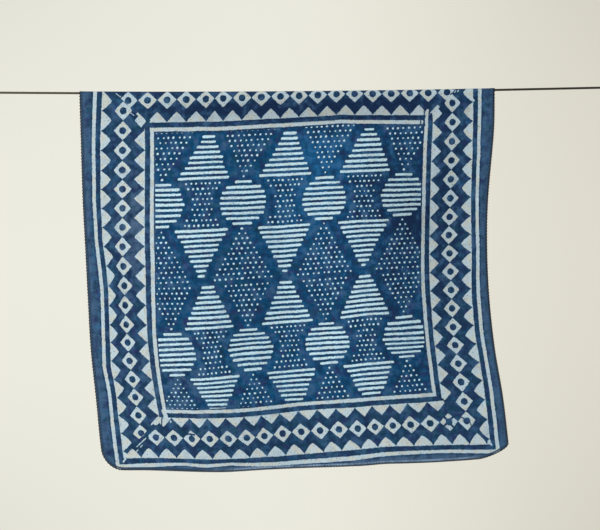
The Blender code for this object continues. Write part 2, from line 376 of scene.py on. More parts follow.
class Sums:
    """A node tree, with its nodes written as sums of terms."""

    def __init__(self, tree: bpy.types.NodeTree) -> None:
        """Keep the tree's nodes and links."""
        self.nodes = tree.nodes
        self.links = tree.links

    def put(self, socket: bpy.types.NodeSocket, value: "Number | Sequence[float]") -> None:
        """Feed a socket from a term, or set it to a fixed value."""
        if isinstance(value, Term):
            self.links.new(value.socket, socket)
        else:
            socket.default_value = value

    def math(self, operation: str, *values: "Number") -> Term:
        """One sum.

        Args:
            operation: The Math node's operation.
            values: What goes in.

        Returns:
            What comes out.
        """
        node = self.nodes.new("ShaderNodeMath")
        node.operation = operation
        for socket, value in zip(node.inputs, values):
            self.put(socket, value)
        return Term(self, node.outputs[0])

    def fade(self, value: Term, low: float, high: float) -> Term:
        """A smooth rise of a value from 0 at low to 1 at high."""
        node = self.nodes.new("ShaderNodeMapRange")
        node.interpolation_type = "SMOOTHSTEP"
        self.put(node.inputs["Value"], value if low < high else -1.0 * value)
        node.inputs["From Min"].default_value = low if low < high else -low
        node.inputs["From Max"].default_value = high if low < high else -high
        return Term(self, node.outputs["Result"])

    def vector(self, x: "Number", y: "Number", z: "Number" = 0.0) -> Term:
        """A vector of three numbers."""
        node = self.nodes.new("ShaderNodeCombineXYZ")
        for socket, value in zip(node.inputs, (x, y, z)):
            self.put(socket, value)
        return Term(self, node.outputs[0])

    def parts(self, vector: Term) -> tuple[Term, Term, Term]:
        """The three numbers of a vector."""
        node = self.nodes.new("ShaderNodeSeparateXYZ")
        self.put(node.inputs[0], vector)
        return tuple(Term(self, socket) for socket in node.outputs)

    def on_vectors(self, operation: str, first: object, second: object = None) -> Term:
        """One sum on vectors, or on a vector and a number to scale it by.

        Args:
            operation: The Vector Math node's operation.
            first: The first vector.
            second: The second vector, or the number for SCALE.

        Returns:
            The vector or number that comes out.
        """
        node = self.nodes.new("ShaderNodeVectorMath")
        node.operation = operation
        self.put(node.inputs[0], first)
        if operation == "SCALE":
            self.put(node.inputs["Scale"], second)
        elif second is not None:
            self.put(node.inputs[1], second)
        numbers = ("DOT_PRODUCT", "LENGTH")
        return Term(self, node.outputs["Value" if operation in numbers else "Vector"])

    def from_run(self, place: Term, start: Sequence[float], end: Sequence[float]) -> Term:
        """Distance to a straight run.

        Args:
            place: The flat place, in millimetres.
            start: The run's start.
            end: The run's end.

        Returns:
            The distance, in millimetres.
        """
        run = Vector((end[0] - start[0], end[1] - start[1], 0.0))
        heading = run.normalized()
        offset = self.on_vectors("SUBTRACT", place, (start[0], start[1], 0.0))
        along = self.on_vectors("DOT_PRODUCT", offset, heading).greatest(0.0).least(run.length)
        foot = self.on_vectors("SCALE", heading, along)
        return self.on_vectors("LENGTH", self.on_vectors("SUBTRACT", offset, foot))

    def _lumps(self, where: Term, scale: float, detail: float, flat: bool) -> bpy.types.Node:
        """A noise node.

        Args:
            where: The place to read it at.
            scale: Lumps in one unit of the place.
            detail: How many finer layers it has.
            flat: Whether the place has only two numbers.

        Returns:
            The node.
        """
        node = self.nodes.new("ShaderNodeTexNoise")
        node.noise_dimensions = "2D" if flat else "3D"
        self.put(node.inputs["Vector"], where)
        node.inputs["Scale"].default_value = scale
        node.inputs["Detail"].default_value = detail
        return node

    def noise(self, where: Term, scale: float, detail: float = 2.0, flat: bool = True) -> Term:
        """Soft noise from 0 to 1, from a place, a scale and a detail."""
        return Term(self, self._lumps(where, scale, detail, flat).outputs["Fac"])

    def three_noises(self, where: Term, scale: float, detail: float) -> tuple[Term, Term, Term]:
        """Three unlike noises around nothing, from -0.5 to 0.5."""
        node = self._lumps(where, scale, detail, True)
        return tuple(part - 0.5 for part in self.parts(Term(self, node.outputs["Color"])))

    def chance(self, x: Term, y: Term) -> Term:
        """A number from 0 to 1 that is the same all over one whole cell."""
        node = self.nodes.new("ShaderNodeTexWhiteNoise")
        node.noise_dimensions = "2D"
        self.put(node.inputs["Vector"], self.vector(x, y))
        return Term(self, node.outputs["Value"])

    def mix(self, share: "Number", first: "Term | Point", second: "Term | Point") -> Term:
        """A colour between two.

        Args:
            share: How much of the second there is, from 0 to 1.
            first: The first colour.
            second: The second colour.

        Returns:
            The colour between them.
        """
        node = self.nodes.new("ShaderNodeMix")
        node.data_type = "RGBA"
        self.put(node.inputs[0], share)
        for socket, colour in ((node.inputs[6], first), (node.inputs[7], second)):
            self.put(socket, colour if isinstance(colour, Term) else (*colour, 1.0))
        return Term(self, node.outputs[2])

    def shaded(self, colour: Term, amount: Term) -> Term:
        """A colour times an amount."""
        return self.on_vectors("SCALE", colour, amount)

    def stretched(self, place: Term, across: float, down: float) -> Term:
        """A flat place drawn out, for marks that follow the threads."""
        x, y, _ = self.parts(place)
        return self.vector(x * across, y * down)


class Graph(Sums):
    """A new material, written as sums of terms."""

    def __init__(self, name: str) -> None:
        """Start a material with a Principled shader."""
        self.material = bpy.data.materials.new(name)
        self.material.use_nodes = True
        super().__init__(self.material.node_tree)
        self.shader = self.nodes["Principled BSDF"]

    def attribute(self, name: str) -> tuple[Term, Term, Term]:
        """The three numbers of a mesh attribute."""
        node = self.nodes.new("ShaderNodeAttribute")
        node.attribute_name = name
        return self.parts(Term(self, node.outputs["Vector"]))

    def uv(self, name: str) -> tuple[Term, Term, Term]:
        """The piece's own UV map."""
        node = self.nodes.new("ShaderNodeUVMap")
        node.uv_map = name
        return self.parts(Term(self, node.outputs["UV"]))

    def place(self) -> Term:
        """The place on the piece, in metres."""
        node = self.nodes.new("ShaderNodeTexCoord")
        return Term(self, node.outputs["Object"])

    def paint(self, colour: Term) -> None:
        """Give the surface its colour."""
        self.put(self.shader.inputs["Base Color"], colour)

    def gloss(self, roughness: float, specular: float) -> None:
        """Set how rough the surface is and how much it mirrors."""
        self.shader.inputs["Roughness"].default_value = roughness
        self.shader.inputs["Specular IOR Level"].default_value = specular

    def bump(self, height: Term, distance: float) -> None:
        """Raise the surface by a height from 0 to 1.

        Args:
            height: The height.
            distance: What 1 stands for, in millimetres.
        """
        node = self.nodes.new("ShaderNodeBump")
        node.inputs["Distance"].default_value = distance * MM
        self.put(node.inputs["Height"], height)
        self.links.new(node.outputs[0], self.shader.inputs["Normal"])


@dataclass(frozen=True)
class Fade:
    """A smooth rise from low to high, and the share that it rises to."""

    low: float
    high: float
    share: float = 1.0

    def of(self, graph: Sums, value: Term) -> Term:
        """The share that a value of the graph gives."""
        return graph.fade(value, self.low, self.high) * self.share


# How the cloth hangs

# The flap behind the line: from the left edge, length from crest to back hem
FLAP: Table = (
    (0.0, 41.0),
    (280.0, 44.4),
    (559.0, 50.5),
)

# The front hem: from the left edge, height
HEM: Table = (
    (0.0, -509.5),
    (30.0, -510.2),
    (66.0, -510.0),
    (162.0, -512.0),
    (225.0, -510.0),
    (290.0, -509.0),
    (355.0, -506.2),
    (390.0, -503.4),
    (420.0, -502.8),
    (485.0, -501.0),
    (559.0, -497.0),
)

# Sideways drift: drop below the crest, then X of the left edge, the left frame
# line, the right frame line and the right edge
DRIFT: Table = (
    (0.0, -294.2, -198.0, 174.0, 263.1),
    (53.0, -293.4, -198.3, 173.0, 262.2),
    (147.0, -292.6, -199.1, 167.6, 254.6),
    (215.0, -290.2, -199.0, 165.8, 253.4),
    (282.0, -287.3, -198.2, 167.3, 255.8),
    (350.0, -283.5, -194.5, 171.3, 262.2),
    (417.0, -276.4, -185.5, 179.4, 272.5),
    (471.0, -271.3, -178.5, 187.0, 278.2),
    (512.0, -266.0, -173.2, 192.2, 282.0),
)

# Folds: from the left edge, how far forward at mid height, how far at the hem
FOLDS: Table = (
    (0.0, -15.0, -6.0),
    (50.0, -10.0, -1.0),
    (97.0, 0.0, 4.0),
    (167.0, 9.0, 8.0),
    (225.0, 2.0, 3.0),
    (285.0, -7.0, -5.0),
    (340.0, 1.0, 0.0),
    (392.0, 9.0, 4.0),
    (440.0, 6.0, 4.0),
    (475.0, -3.0, 1.0),
    (515.0, -10.0, -3.0),
    (559.0, -15.0, -6.0),
)
FOLDS_FULL_AT = 235.0

# Soft creases: start across and down, end across and down, half width, depth. Each
# fades out over a share of its length at either end.
CREASES: Table = (
    (38.0, 360.0, 128.0, 494.0, 13.0, -2.6),
    (128.0, 280.0, 168.0, 400.0, 15.0, -1.6),
    (405.0, 250.0, 330.0, 330.0, 14.0, -1.4),
    (268.0, 70.0, 318.0, 190.0, 18.0, 1.6),
)
CREASE_FADES_OVER = 0.4


@dataclass(frozen=True)
class Corner:
    """A rounded corner of the cloth: its reach, and the power of its curve."""

    across: float
    along: float
    power: float = 2.0

    def inset(self, near_hem: float) -> float:
        """How far it draws the side edge in, at a distance from the hem."""
        if near_hem >= self.along:
            return 0.0
        rise = 1 - near_hem / self.along
        return self.across * (1 - max(1 - rise**self.power, 0.0) ** (1 / self.power))

    @property
    def cut_away(self) -> float:
        """Area that the corner takes off, in square millimetres."""
        kept = math.gamma(1 + 1 / self.power) ** 2 / math.gamma(1 + 2 / self.power)
        return self.across * self.along * (1 - kept)


@dataclass(frozen=True)
class Drape:
    """The way from a place on the flat cloth to where it hangs."""

    width: float = 559.0
    length: float = 552.0
    left_corner: Corner = Corner(26.0, 26.0)
    back_right_corner: Corner = Corner(34.0, 34.0)
    front_right_corner: Corner = Corner(42.0, 16.5, 1.45)
    left: float = -295.0
    left_frame: float = 97.0
    right_frame: float = 469.0
    line_from_wall: float = 36.0
    line_mean_slope: float = 0.0138
    clear_half: float = 415.0
    wrap_radius: float = 2.3
    free_below: float = 40.0
    ripple: float = 0.35
    ripple_length: float = 22.0
    ripple_drawn_down: float = 0.45
    pucker: float = 0.35
    pucker_length: float = 13.0
    pucker_reach: float = 7.0

    @property
    def wrap_arc(self) -> float:
        """Length of cloth from the crest to where it leaves the line."""
        return self.wrap_radius * math.pi / 2

    @property
    def area(self) -> float:
        """Flat area of the cut, in square metres."""
        left = 2 * self.left_corner.cut_away
        right = self.back_right_corner.cut_away + self.front_right_corner.cut_away
        return (self.width * self.length - left - right) * MM * MM

    @property
    def corner_reach(self) -> float:
        """How far along the cloth its corners reach from either hem."""
        corners = (self.left_corner, self.back_right_corner, self.front_right_corner)
        return max(corner.along for corner in corners)

    def line_height(self, x: float) -> float:
        """Height of the line: straight beside the cloth, a parabola under its weight.

        Args:
            x: The place along the line.

        Returns:
            The height above the line's ends.
        """
        middle = self.left + self.width / 2
        left_slope = self.line_mean_slope * (1 - middle / self.clear_half)
        right_slope = self.line_mean_slope * (1 + middle / self.clear_half)
        if x <= self.left:
            return -left_slope * max(x + self.clear_half, 0.0)
        if x >= self.left + self.width:
            return -right_slope * max(self.clear_half - x, 0.0)
        u = x - self.left
        start = -left_slope * (self.left + self.clear_half)
        bow = (left_slope + right_slope) * u * u / (2 * self.width)
        return start - left_slope * u + bow

    def across(self, s: float, drop: float) -> float:
        """X of the cloth, s across it, at a drop below the crest."""
        left, inner_left, inner_right, right = (
            smooth_curve(DRIFT, n, drop) for n in (1, 2, 3, 4)
        )
        columns = (
            (0.0, left),
            (self.left_frame, inner_left),
            (self.right_frame, inner_right),
            (self.width, right),
        )
        return smooth_curve(columns, 1, s)

    def crease(self, s: float, drop: float, row: Sequence[float]) -> float:
        """How far one soft crease moves the cloth forward."""
        start_s, start_drop, end_s, end_drop, half_width, depth = row
        run_s = end_s - start_s
        run_drop = end_drop - start_drop
        length = math.hypot(run_s, run_drop)
        along = ((s - start_s) * run_s + (drop - start_drop) * run_drop) / length**2
        aside = ((s - start_s) * run_drop - (drop - start_drop) * run_s) / length
        fade = ease(along / CREASE_FADES_OVER) * ease((1 - along) / CREASE_FADES_OVER)
        return depth * fade * math.exp(-((aside / half_width) ** 2))

    def forward(self, s: float, drop: float) -> float:
        """How far the cloth stands forward of the line at a drop below the crest."""
        at_middle = smooth_curve(FOLDS, 1, s)
        at_hem = smooth_curve(FOLDS, 2, s)
        if drop < FOLDS_FULL_AT:
            folds = at_middle * ease(drop / FOLDS_FULL_AT)
        else:
            share = ease((drop - FOLDS_FULL_AT) / (self.length - FOLDS_FULL_AT))
            folds = at_middle + (at_hem - at_middle) * share
        return folds + sum(self.crease(s, drop, row) for row in CREASES)

    def unevenness(self, s: float, t: float, hang: float) -> float:
        """Small ripples of the hanging cloth, and the puckers along its sewn edge.

        Args:
            s: The place across.
            t: The place along.
            hang: How far the place hangs below the line.

        Returns:
            How far it moves the cloth forward.
        """
        free = ease(hang / self.free_below)
        soft = noise.noise(Vector((s, t * self.ripple_drawn_down, 3.0)) / self.ripple_length)
        to_edge = min(s, self.width - s, self.length - t)
        near = math.exp(-((to_edge / self.pucker_reach) ** 2))
        along = t if min(s, self.width - s) < self.length - t else s
        sewn = noise.noise(Vector((along / self.pucker_length, 0.0, 9.0)))
        return free * (self.ripple * soft + self.pucker * near * sewn)

    def point(self, s: float, t: float) -> Point:
        """The middle of the cloth's thickness at a place on it.

        Args:
            s: The place across, from the left edge.
            t: The place along, from the back hem.

        Returns:
            The point where that place hangs.
        """
        flap = smooth_curve(FLAP, 1, s)
        arc = t - flap
        crest_x = self.across(s, 0.0)
        base = self.line_height(crest_x)
        if abs(arc) <= self.wrap_arc:
            turn = arc / self.wrap_radius
            return (
                crest_x,
                -self.line_from_wall - self.wrap_radius * math.sin(turn),
                base + self.wrap_radius * math.cos(turn),
            )
        hang = abs(arc) - self.wrap_arc
        forward = self.forward(s, hang) + self.unevenness(s, t, hang)
        if arc < 0:
            return (crest_x, -self.line_from_wall + self.wrap_radius - forward, base - hang)
        full = self.length - flap - self.wrap_arc
        z = base + (smooth_curve(HEM, 1, s) - base) * hang / full
        return (self.across(s, hang), -self.line_from_wall - self.wrap_radius - forward, z)

    def left_edge(self, t: float) -> float:
        """Place of the left edge at t."""
        return self.left_corner.inset(min(t, self.length - t))

    def right_edge(self, t: float) -> float:
        """Place of the right edge at t."""
        if t < self.length / 2:
            return self.width - self.back_right_corner.inset(t)
        return self.width - self.front_right_corner.inset(self.length - t)


# Where the print blocks fell on the cloth

# The border's own section, outward from the middle of its inner stripe. It is the
# same on both sides of its middle, where the diamonds stand.
BORDER_MIDDLE = 38.4
TRIANGLE_BASE = 29.2
TRIANGLE_HEIGHT = 13.6
OUTER_BULGE = 0.12
DIAMOND_HALF = 11.6
DIAMOND_HALF_ALONG = 12.3
DIAMOND_HOLE = 4.6
STRIPE_FROM_MIDDLE = 38.5
STRIPE_HALF = 2.5
REPEAT = 25.6
# The powers that curve the sides of triangles and diamonds a little, and how many
# millimetres one step of each curve stands for
TRIANGLE_POWERS = (1.04, 1.1)
TRIANGLE_STEP = 9.3
DIAMOND_POWER = 1.06
DIAMOND_STEP = 8.8
# Where the field starts, outward from the middle of the inner stripe, and where the
# plain band outside the outer stripe does
FIELD_EDGE = -4.6
PLAIN_FROM = 80.0
PLAIN_FULL_AT = 83.0

# The left border: down the cloth, then s of the inner stripe, the diamonds, the
# foot of the outer triangles and the outer stripe
LEFT_SECTION: Table = (
    (60.0, 97.6, 58.0, 29.0, 19.4),
    (108.0, 97.1, 56.9, 25.8, 16.6),
    (190.0, 97.0, 55.4, 24.4, 15.3),
    (243.0, 97.0, 54.0, 24.2, 15.4),
    (277.0, 97.4, 53.5, 28.0, 18.2),
    (311.0, 97.2, 54.6, 30.2, 20.8),
    (379.0, 96.2, 55.6, 29.2, 19.4),
    (413.0, 96.2, 56.0, 26.8, 16.8),
    (447.0, 96.3, 56.8, 29.0, 19.3),
    (500.0, 97.2, 59.4, 29.5, 19.8),
)
# The right border: down the cloth, then the same four from the left edge
RIGHT_SECTION: Table = (
    (60.0, 468.2, 502.0, 530.5, 539.8),
    (120.0, 467.2, 503.6, 532.0, 540.2),
    (188.0, 469.0, 506.1, 535.6, 544.2),
    (255.0, 469.5, 505.9, 538.5, 547.0),
    (289.0, 468.4, 506.8, 538.0, 546.6),
    (323.0, 468.8, 507.5, 536.0, 545.4),
    (390.0, 469.8, 506.4, 536.0, 544.9),
    (424.0, 470.6, 508.4, 537.6, 546.0),
    (500.0, 470.3, 508.4, 536.4, 545.3),
)
# The top border: across the cloth, then t of the same four
TOP_SECTION: Table = (
    (60.0, 95.3, 55.0, 27.0, 17.8),
    (200.0, 94.0, 53.7, 25.7, 16.5),
    (285.0, 91.0, 52.3, 24.5, 15.4),
    (350.0, 88.6, 52.0, 24.4, 15.2),
    (459.0, 94.0, 54.2, 26.6, 17.4),
    (500.0, 95.1, 54.8, 27.2, 18.0),
)
# The bottom border: across the cloth, then t of the same four
BOTTOM_SECTION: Table = (
    (50.0, 473.6, 508.3, 536.7, 547.0),
    (76.0, 473.5, 508.4, 536.5, 545.4),
    (117.0, 473.3, 508.5, 536.1, 543.5),
    (145.0, 473.0, 508.7, 536.1, 544.9),
    (178.0, 472.6, 509.1, 536.3, 542.8),
    (216.0, 472.4, 509.6, 536.6, 546.0),
    (242.0, 470.6, 507.1, 535.8, 546.1),
    (271.0, 468.6, 504.4, 535.0, 545.2),
    (327.0, 465.7, 503.2, 532.0, 543.2),
    (395.0, 464.7, 502.4, 529.6, 539.8),
    (437.0, 462.9, 501.1, 530.2, 538.7),
    (472.0, 462.5, 500.2, 530.9, 539.2),
    (530.0, 462.4, 500.4, 534.2, 543.4),
)

# Diamonds along each border: place along the cloth, number of the diamond. The
# last block of a run was set down early, so a diamond there is narrow.
LEFT_DIAMONDS: Table = (
    (69.0, 0.0),
    (148.7, 3.0),
    (225.5, 6.0),
    (304.7, 9.0),
    (357.5, 11.0),
    (381.1, 12.0),
    (431.2, 14.0),
    (503.7, 17.0),
)
RIGHT_DIAMONDS: Table = (
    (69.6, 0.0),
    (147.1, 3.0),
    (223.6, 6.0),
    (297.7, 9.0),
    (373.0, 12.0),
    (447.7, 15.0),
    (500.5, 17.0),
)
TOP_DIAMONDS: Table = (
    (64.9, 0.0),
    (117.6, 2.0),
    (170.2, 4.0),
    (193.1, 5.0),
    (270.6, 8.0),
    (346.1, 11.0),
    (419.6, 14.0),
    (495.2, 17.0),
)
BOTTOM_DIAMONDS: Table = (
    (80.2, 0.0),
    (155.3, 3.0),
    (205.6, 5.0),
    (229.4, 6.0),
    (307.2, 9.0),
    (359.4, 11.0),
    (382.6, 12.0),
    (431.6, 14.0),
    (485.0, 16.0),
    (508.0, 17.0),
)

# The field's first block: down the cloth, then s of its columns, a circle at each
# whole number and a striped triangle between
FIRST_COLUMNS: Table = (
    (105.0, 120.0, 174.2, 229.0, 283.7, 337.0, 390.2, 444.0),
    (160.0, 112.0, 168.3, 222.0, 279.6, 333.0, 386.4, 440.0),
    (196.0, 109.6, 166.6, 219.8, 280.0, 331.4, 386.8, 438.8),
    (232.0, 110.0, 165.4, 221.0, 280.9, 333.0, 387.4, 440.5),
    (292.0, 109.0, 164.8, 221.0, 279.4, 333.0, 386.5, 440.0),
)
# The second block, set down a little to one side and closer
SECOND_COLUMNS: Table = (
    (307.0, 120.0, 174.0, 226.0, 280.4, 334.0, 387.8, 441.0),
    (361.0, 121.0, 173.8, 226.0, 282.4, 333.0, 385.5, 439.0),
    (397.0, 124.4, 174.5, 228.4, 281.0, 332.7, 386.0, 438.4),
    (429.0, 122.0, 174.3, 227.0, 279.3, 333.0, 386.8, 439.5),
    (463.0, 120.0, 172.3, 225.0, 277.7, 331.0, 384.0, 437.0),
)
COLUMN_NUMBERS = (0.0, 0.5, 1.0, 1.5, 2.0, 2.5, 3.0)
COLUMN_PITCH = 108.0

# Rows of each block: number of the row, then its t at the four circle columns
FIRST_ROWS: Table = (
    (0.0, 106.2, 103.7, 101.4, 100.4),
    (8.0, 162.6, 158.9, 156.7, 156.9),
    (13.0, 196.0, 195.1, 191.2, 191.5),
    (18.0, 233.2, 229.0, 225.5, 224.6),
    (27.0, 294.0, 289.2, 285.0, 282.8),
)
SECOND_ROWS: Table = (
    (0.0, 308.6, 305.0, 301.1, 297.8),
    (8.0, 362.8, 359.4, 353.9, 348.6),
    (13.0, 397.5, 389.9, 386.0, 385.5),
    (18.0, 431.6, 426.2, 419.7, 415.4),
    (24.0, 464.0, 462.6, 459.3, 455.2),
)
ROW_COLUMNS = (110.0, 220.0, 331.0, 439.0)
ROW_PITCH = 6.9
SECOND_FROM_ROW = -0.7
LAST_ROW = 27.0
LAST_COLUMN = 2.5
CIRCLE_ROW = 13.0
CIRCLE_HALF_ROWS = 4.5
CIRCLE_RADIUS = 30.4
CIRCLE_FALL = 48.0
WIDEST_HALF = 34.6
WIDEST_ROW = 5.0
STEP_HALF = 3.35
FIELD_STRIPE_HALF = 1.8
DOT_RADIUS = 1.42
DOT_PITCH = 7.2
DOTS_CLOSER = 0.9
DOTS_ACROSS = 39.5
DOTS_GIVE_WAY = 1.078
DOTS_ROUND_CIRCLES = 0.18
# Far enough off to hide a shape
HIDDEN = 20.0
# Numbers that keep the luck of one block, or one stripe, from that of the next
NEXT_BLOCK = 40.0
NEXT_STRIPE = 17.0

# Clouds in the dye, with painted shade and light among them: s, t, reach across,
# reach down, navy, bright, faded. Besides real navy and faded dye, the navy column
# paints shade on the top border, where the flap hangs behind it, on the right border
# and right frame line, where the cloth turns back, and along the right edge. The faded
# column paints light along the left edge, beside the right edge and on the curled front
# hem. The bright clouds in the field are partly painted light.
DYE_AND_SHADING_CLOUDS: Table = (
    (350.0, 72.0, 150.0, 19.0, 1.0, 0.0, 0.0),
    (180.0, 70.0, 100.0, 16.0, 0.6, 0.0, 0.0),
    (505.0, 150.0, 22.0, 90.0, 0.45, 0.0, 0.0),
    (500.0, 300.0, 20.0, 90.0, 0.3, 0.0, 0.0),
    (330.0, 135.0, 40.0, 34.0, 0.0, 0.8, 0.0),
    (300.0, 200.0, 70.0, 60.0, 0.0, 0.35, 0.0),
    (400.0, 170.0, 80.0, 70.0, 0.22, 0.0, 0.0),
    (458.0, 228.0, 24.0, 34.0, 0.6, 0.0, 0.0),
    (430.0, 240.0, 48.0, 180.0, 0.38, 0.0, 0.0),
    (68.0, 228.0, 18.0, 70.0, 0.0, 0.0, 0.7),
    (50.0, 312.0, 8.0, 44.0, 0.5, 0.0, 0.0),
    (120.0, 430.0, 60.0, 60.0, 0.0, 0.0, 0.3),
    (84.0, 64.0, 26.0, 10.0, 0.0, 0.3, 0.25),
    (420.0, 549.0, 140.0, 3.8, 0.0, 0.0, 1.0),
    (190.0, 550.0, 120.0, 3.0, 0.0, 0.0, 0.8),
    (2.0, 240.0, 5.0, 260.0, 0.0, 0.0, 0.6),
    (551.0, 300.0, 3.0, 220.0, 0.0, 0.0, 0.3),
    (559.0, 290.0, 2.0, 300.0, 0.8, 0.0, 0.0),
    (250.0, 420.0, 90.0, 50.0, 0.0, 0.25, 0.0),
)

# Slips of the blocks at the four corners: start across and down, end across and
# down, half width. The first lot lost its resist, the second took too much.
DYED_SLIPS: Table = (
    (464.6, 84.9, 464.6, 75.8, 0.9),
    (471.7, 77.7, 472.2, 87.1, 0.8),
    (92.4, 481.5, 89.6, 493.5, 0.9),
    (84.4, 92.8, 92.7, 82.8, 2.2),
    (459.6, 91.3, 460.5, 97.9, 0.8),
    (464.4, 90.4, 464.6, 98.2, 1.3),
    (474.0, 82.8, 475.0, 96.8, 1.3),
    (53.0, 518.6, 65.5, 509.1, 4.2),
    (76.0, 508.0, 83.9, 506.3, 1.0),
    (123.1, 502.8, 133.9, 503.5, 1.4),
    (478.8, 492.7, 488.6, 506.7, 1.5),
    (476.7, 505.9, 490.4, 494.2, 1.5),
    (502.0, 495.1, 508.0, 499.2, 0.9),
    (512.5, 504.0, 514.5, 510.9, 0.7),
    (479.4, 468.6, 483.5, 473.0, 1.0),
)
WHITE_SLIPS: Table = (
    (68.6, 72.1, 72.5, 75.4, 0.5),
    (28.8, 541.8, 33.4, 536.1, 1.2),
    (48.7, 46.0, 55.6, 50.7, 0.6),
    (65.7, 63.9, 68.2, 68.0, 1.0),
    (468.9, 78.4, 467.4, 93.2, 1.9),
    (499.2, 60.8, 496.5, 65.6, 2.4),
    (507.0, 53.5, 505.4, 55.5, 0.6),
    (511.3, 52.5, 509.5, 54.6, 0.6),
    (528.9, 61.2, 531.9, 67.9, 1.1),
    (484.3, 87.6, 488.2, 82.8, 0.6),
    (96.0, 472.6, 98.0, 481.5, 3.0),
    (81.9, 489.2, 86.2, 484.9, 3.2),
    (51.1, 521.5, 65.7, 510.0, 0.7),
    (47.4, 529.7, 52.0, 525.6, 0.6),
    (56.3, 522.0, 58.8, 519.8, 0.6),
    (103.6, 487.0, 103.8, 487.2, 1.5),
    (534.9, 529.6, 536.8, 534.9, 1.2),
)


@dataclass(frozen=True)
class PrintLayout:
    """Where the printer set the blocks down, as places in each block's own design."""

    middle_s: float = 283.0
    middle_t: float = 280.0

    def outward(self, place: float, along: float, section: Table, sign: int) -> float:
        """Distance outward in the border's own section.

        Args:
            place: The place across the border, on the cloth.
            along: The place along the border.
            section: Where the border's lines lie along it.
            sign: 1 where outward is towards larger places, or else -1.

        Returns:
            The distance from the middle of the inner stripe.
        """
        frame, diamond, base, stripe = (sign * between(section, n, along) for n in (1, 2, 3, 4))
        design = (
            (frame, 0.0),
            (diamond, BORDER_MIDDLE),
            (base, BORDER_MIDDLE + TRIANGLE_BASE),
            (stripe, BORDER_MIDDLE + STRIPE_FROM_MIDDLE),
        )
        return between(design, 1, sign * place)

    def sides(self, s: float, t: float) -> Point:
        """Outward distance and diamond number in the nearer side border."""
        if s < self.middle_s:
            return (self.outward(s, t, LEFT_SECTION, -1), between(LEFT_DIAMONDS, 1, t), 0.0)
        return (self.outward(s, t, RIGHT_SECTION, 1), between(RIGHT_DIAMONDS, 1, t), 0.0)

    def ends(self, s: float, t: float) -> Point:
        """Outward distance and diamond number in the nearer end border."""
        if t < self.middle_t:
            return (self.outward(t, s, TOP_SECTION, -1), between(TOP_DIAMONDS, 1, s), 0.0)
        return (self.outward(t, s, BOTTOM_SECTION, 1), between(BOTTOM_DIAMONDS, 1, s), 0.0)

    def in_block(self, s: float, t: float, columns: Table, rows: Table) -> Point:
        """Column and row in a field block.

        Args:
            s: The place across.
            t: The place along.
            columns: The block's table of columns.
            rows: The block's table of rows.

        Returns:
            The column, the row and nothing.
        """
        lines = [(between(columns, n + 1, t), number) for n, number in enumerate(COLUMN_NUMBERS)]
        heights = []
        for number, *places in rows:
            heights.append((between(list(zip(ROW_COLUMNS, places)), 1, s), number))
        return (between(lines, 1, s), between(heights, 1, t), 0.0)

    def first_block(self, s: float, t: float) -> Point:
        """Column and row in the upper field block."""
        return self.in_block(s, t, FIRST_COLUMNS, FIRST_ROWS)

    def second_block(self, s: float, t: float) -> Point:
        """Column and row in the lower field block."""
        return self.in_block(s, t, SECOND_COLUMNS, SECOND_ROWS)

    def dye_and_shading(self, s: float, t: float) -> Point:
        """How navy, how bright and how faded the dye is, with painted shade in the navy and
        painted light in the faded and in part of the bright.
        """
        strength = [0.0, 0.0, 0.0]
        for cloud_s, cloud_t, reach_s, reach_t, *amounts in DYE_AND_SHADING_CLOUDS:
            far = ((s - cloud_s) / reach_s) ** 2 + ((t - cloud_t) / reach_t) ** 2
            near = math.exp(-far)
            strength = [old + near * new for old, new in zip(strength, amounts)]
        return (strength[0], strength[1], strength[2])


# Finishes


